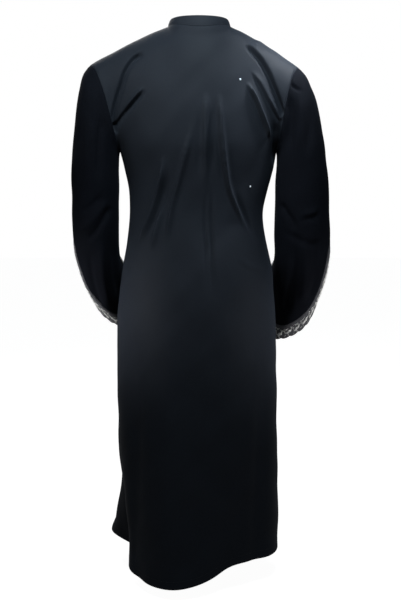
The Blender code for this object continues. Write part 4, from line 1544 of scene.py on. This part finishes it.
world = bpy.context.scene.world or bpy.data.worlds.new("studio")
bpy.context.scene.world = world
world.use_nodes = True
world.node_tree.nodes.clear()
rooms = []
for colour, strength in (ROOM_LIT, ROOM_SEEN):
    room = world.node_tree.nodes.new("ShaderNodeBackground")
    room.inputs["Color"].default_value = colour
    room.inputs["Strength"].default_value = strength
    rooms.append(room)
dim, bright = rooms
seen_and_lit(world.node_tree, bright, dim, world.node_tree.nodes.new("ShaderNodeOutputWorld"))
print("the floor is at z =", FLOOR_Z, "m")

# %% [markdown]
# ## The light
# The key hangs close above the back and a little to the right, so that the shoulders are bright and the
# skirt falls away into the dark. A narrow rake brightens the right shoulder, a weak fill opens the left
# side, two low lamps light the sleeves' borders, and one in front keeps the hidden side readable.

# %% The light
Lamp = namedtuple("Lamp", "name watts size spread colour place aim")
LAMPS = (
    Lamp("key", 6.0, 0.40, 88, (0.80, 0.94, 1.0), (0.12, -0.88, 0.88), (0.00, -0.05, 0.02)),
    Lamp("rake", 0.44, 0.15, 24, (0.92, 0.97, 1.0), (0.55, -0.08, 0.45), (0.19, -0.02, -0.12)),
    Lamp("fill", 0.62, 0.5, 32, (0.94, 0.98, 0.96), (-1.1, -1.2, 0.5), (0.03, -0.12, -0.16)),
    Lamp("right border", 0.24, 0.2, 24, (1.0, 1.0, 1.0), (1.05, -0.75, -0.60), (0.29, -0.02, -0.74)),
    Lamp("left border", 0.36, 0.2, 24, (1.0, 1.0, 1.0), (-1.05, -0.75, -0.55), (-0.27, -0.02, -0.70)),
    Lamp("front key", 20.0, 1.2, 180, (1.0, 0.98, 0.96), (-0.8, 1.5, 0.9), (0.0, 0.0, -0.3)),
)


def add_lamp(lamp):
    """A square soft lamp at a place, turned to aim at a point. spread is the width of its beam in
    degrees."""
    light = bpy.data.lights.new(lamp.name, "AREA")
    light.energy = lamp.watts
    light.size = lamp.size
    light.spread = math.radians(lamp.spread)
    light.color = lamp.colour
    holder = bpy.data.objects.new(lamp.name, light)
    bpy.context.scene.collection.objects.link(holder)
    way = unit(np.array(lamp.aim) - lamp.place)
    holder.location = lamp.place
    holder.rotation_euler = (math.acos(-way[2]), 0.0, math.atan2(way[1], way[0]) - math.pi / 2)


for lamp in LAMPS:
    add_lamp(lamp)
print("lamps:", ", ".join(lamp.name for lamp in LAMPS))

# %% [markdown]
# ## What rides, what it stands for, and how it was cut
# An abaya has no joints, so every piece rides on the one body, and the solid that each shell stands for is
# hidden. The table lists which solid each shell stands for, a finish's name, and the flat size that its
# cloth was cut to, all round where it is a tube.

# %% What rides and what it stands for
Cut = namedtuple("Cut", "piece node slot width length area held rests_on")
CUTS = (
    Cut(back_piece, "back", "satin_black", 0.62, 1.42, 0.78, "hung", "collar_band"),
    Cut(front_pieces["right"], "front_right", "satin_black", 0.38, 1.37, 0.41, "hung", "back_cloth"),
    Cut(front_pieces["left"], "front_left", "satin_black", 0.38, 1.37, 0.42, "hung", "back_cloth"),
    Cut(collar_piece, "collar", "satin_black", 0.44, 0.0245, 0.0085, "stretched", "back_cloth"),
    Cut(sleeve_pieces["right"], "sleeve_right", "matt_black", 0.56, 0.66, 0.23, "hung", "back_cloth"),
    Cut(sleeve_pieces["left"], "sleeve_left", "matt_black", 0.52, 0.62, 0.21, "hung", "back_cloth"),
    Cut(border_pieces["right"], "sleeve_border_right", "net_grey", 0.80, 0.064, 0.047, "hung",
        "sleeve_cloth_right"),
    Cut(border_pieces["left"], "sleeve_border_left", "net_grey", 0.72, 0.064, 0.042, "hung",
        "sleeve_cloth_left"),
)
on_border = {f"sleeve_border_{side}": [embroidery_pieces[side], *trim_pieces[side]] for side in borders}
for piece in made:
    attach(piece, "root")
for cut in CUTS:
    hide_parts(cut.node)
    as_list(on_border.get(cut.node, []))
for pieces in on_border.values():
    for piece in pieces:
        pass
for piece in stitches + stones:
    "matt_black" if "sleeve" in piece.name else "satin_black"
print(len(made), "pieces ride on the one body")
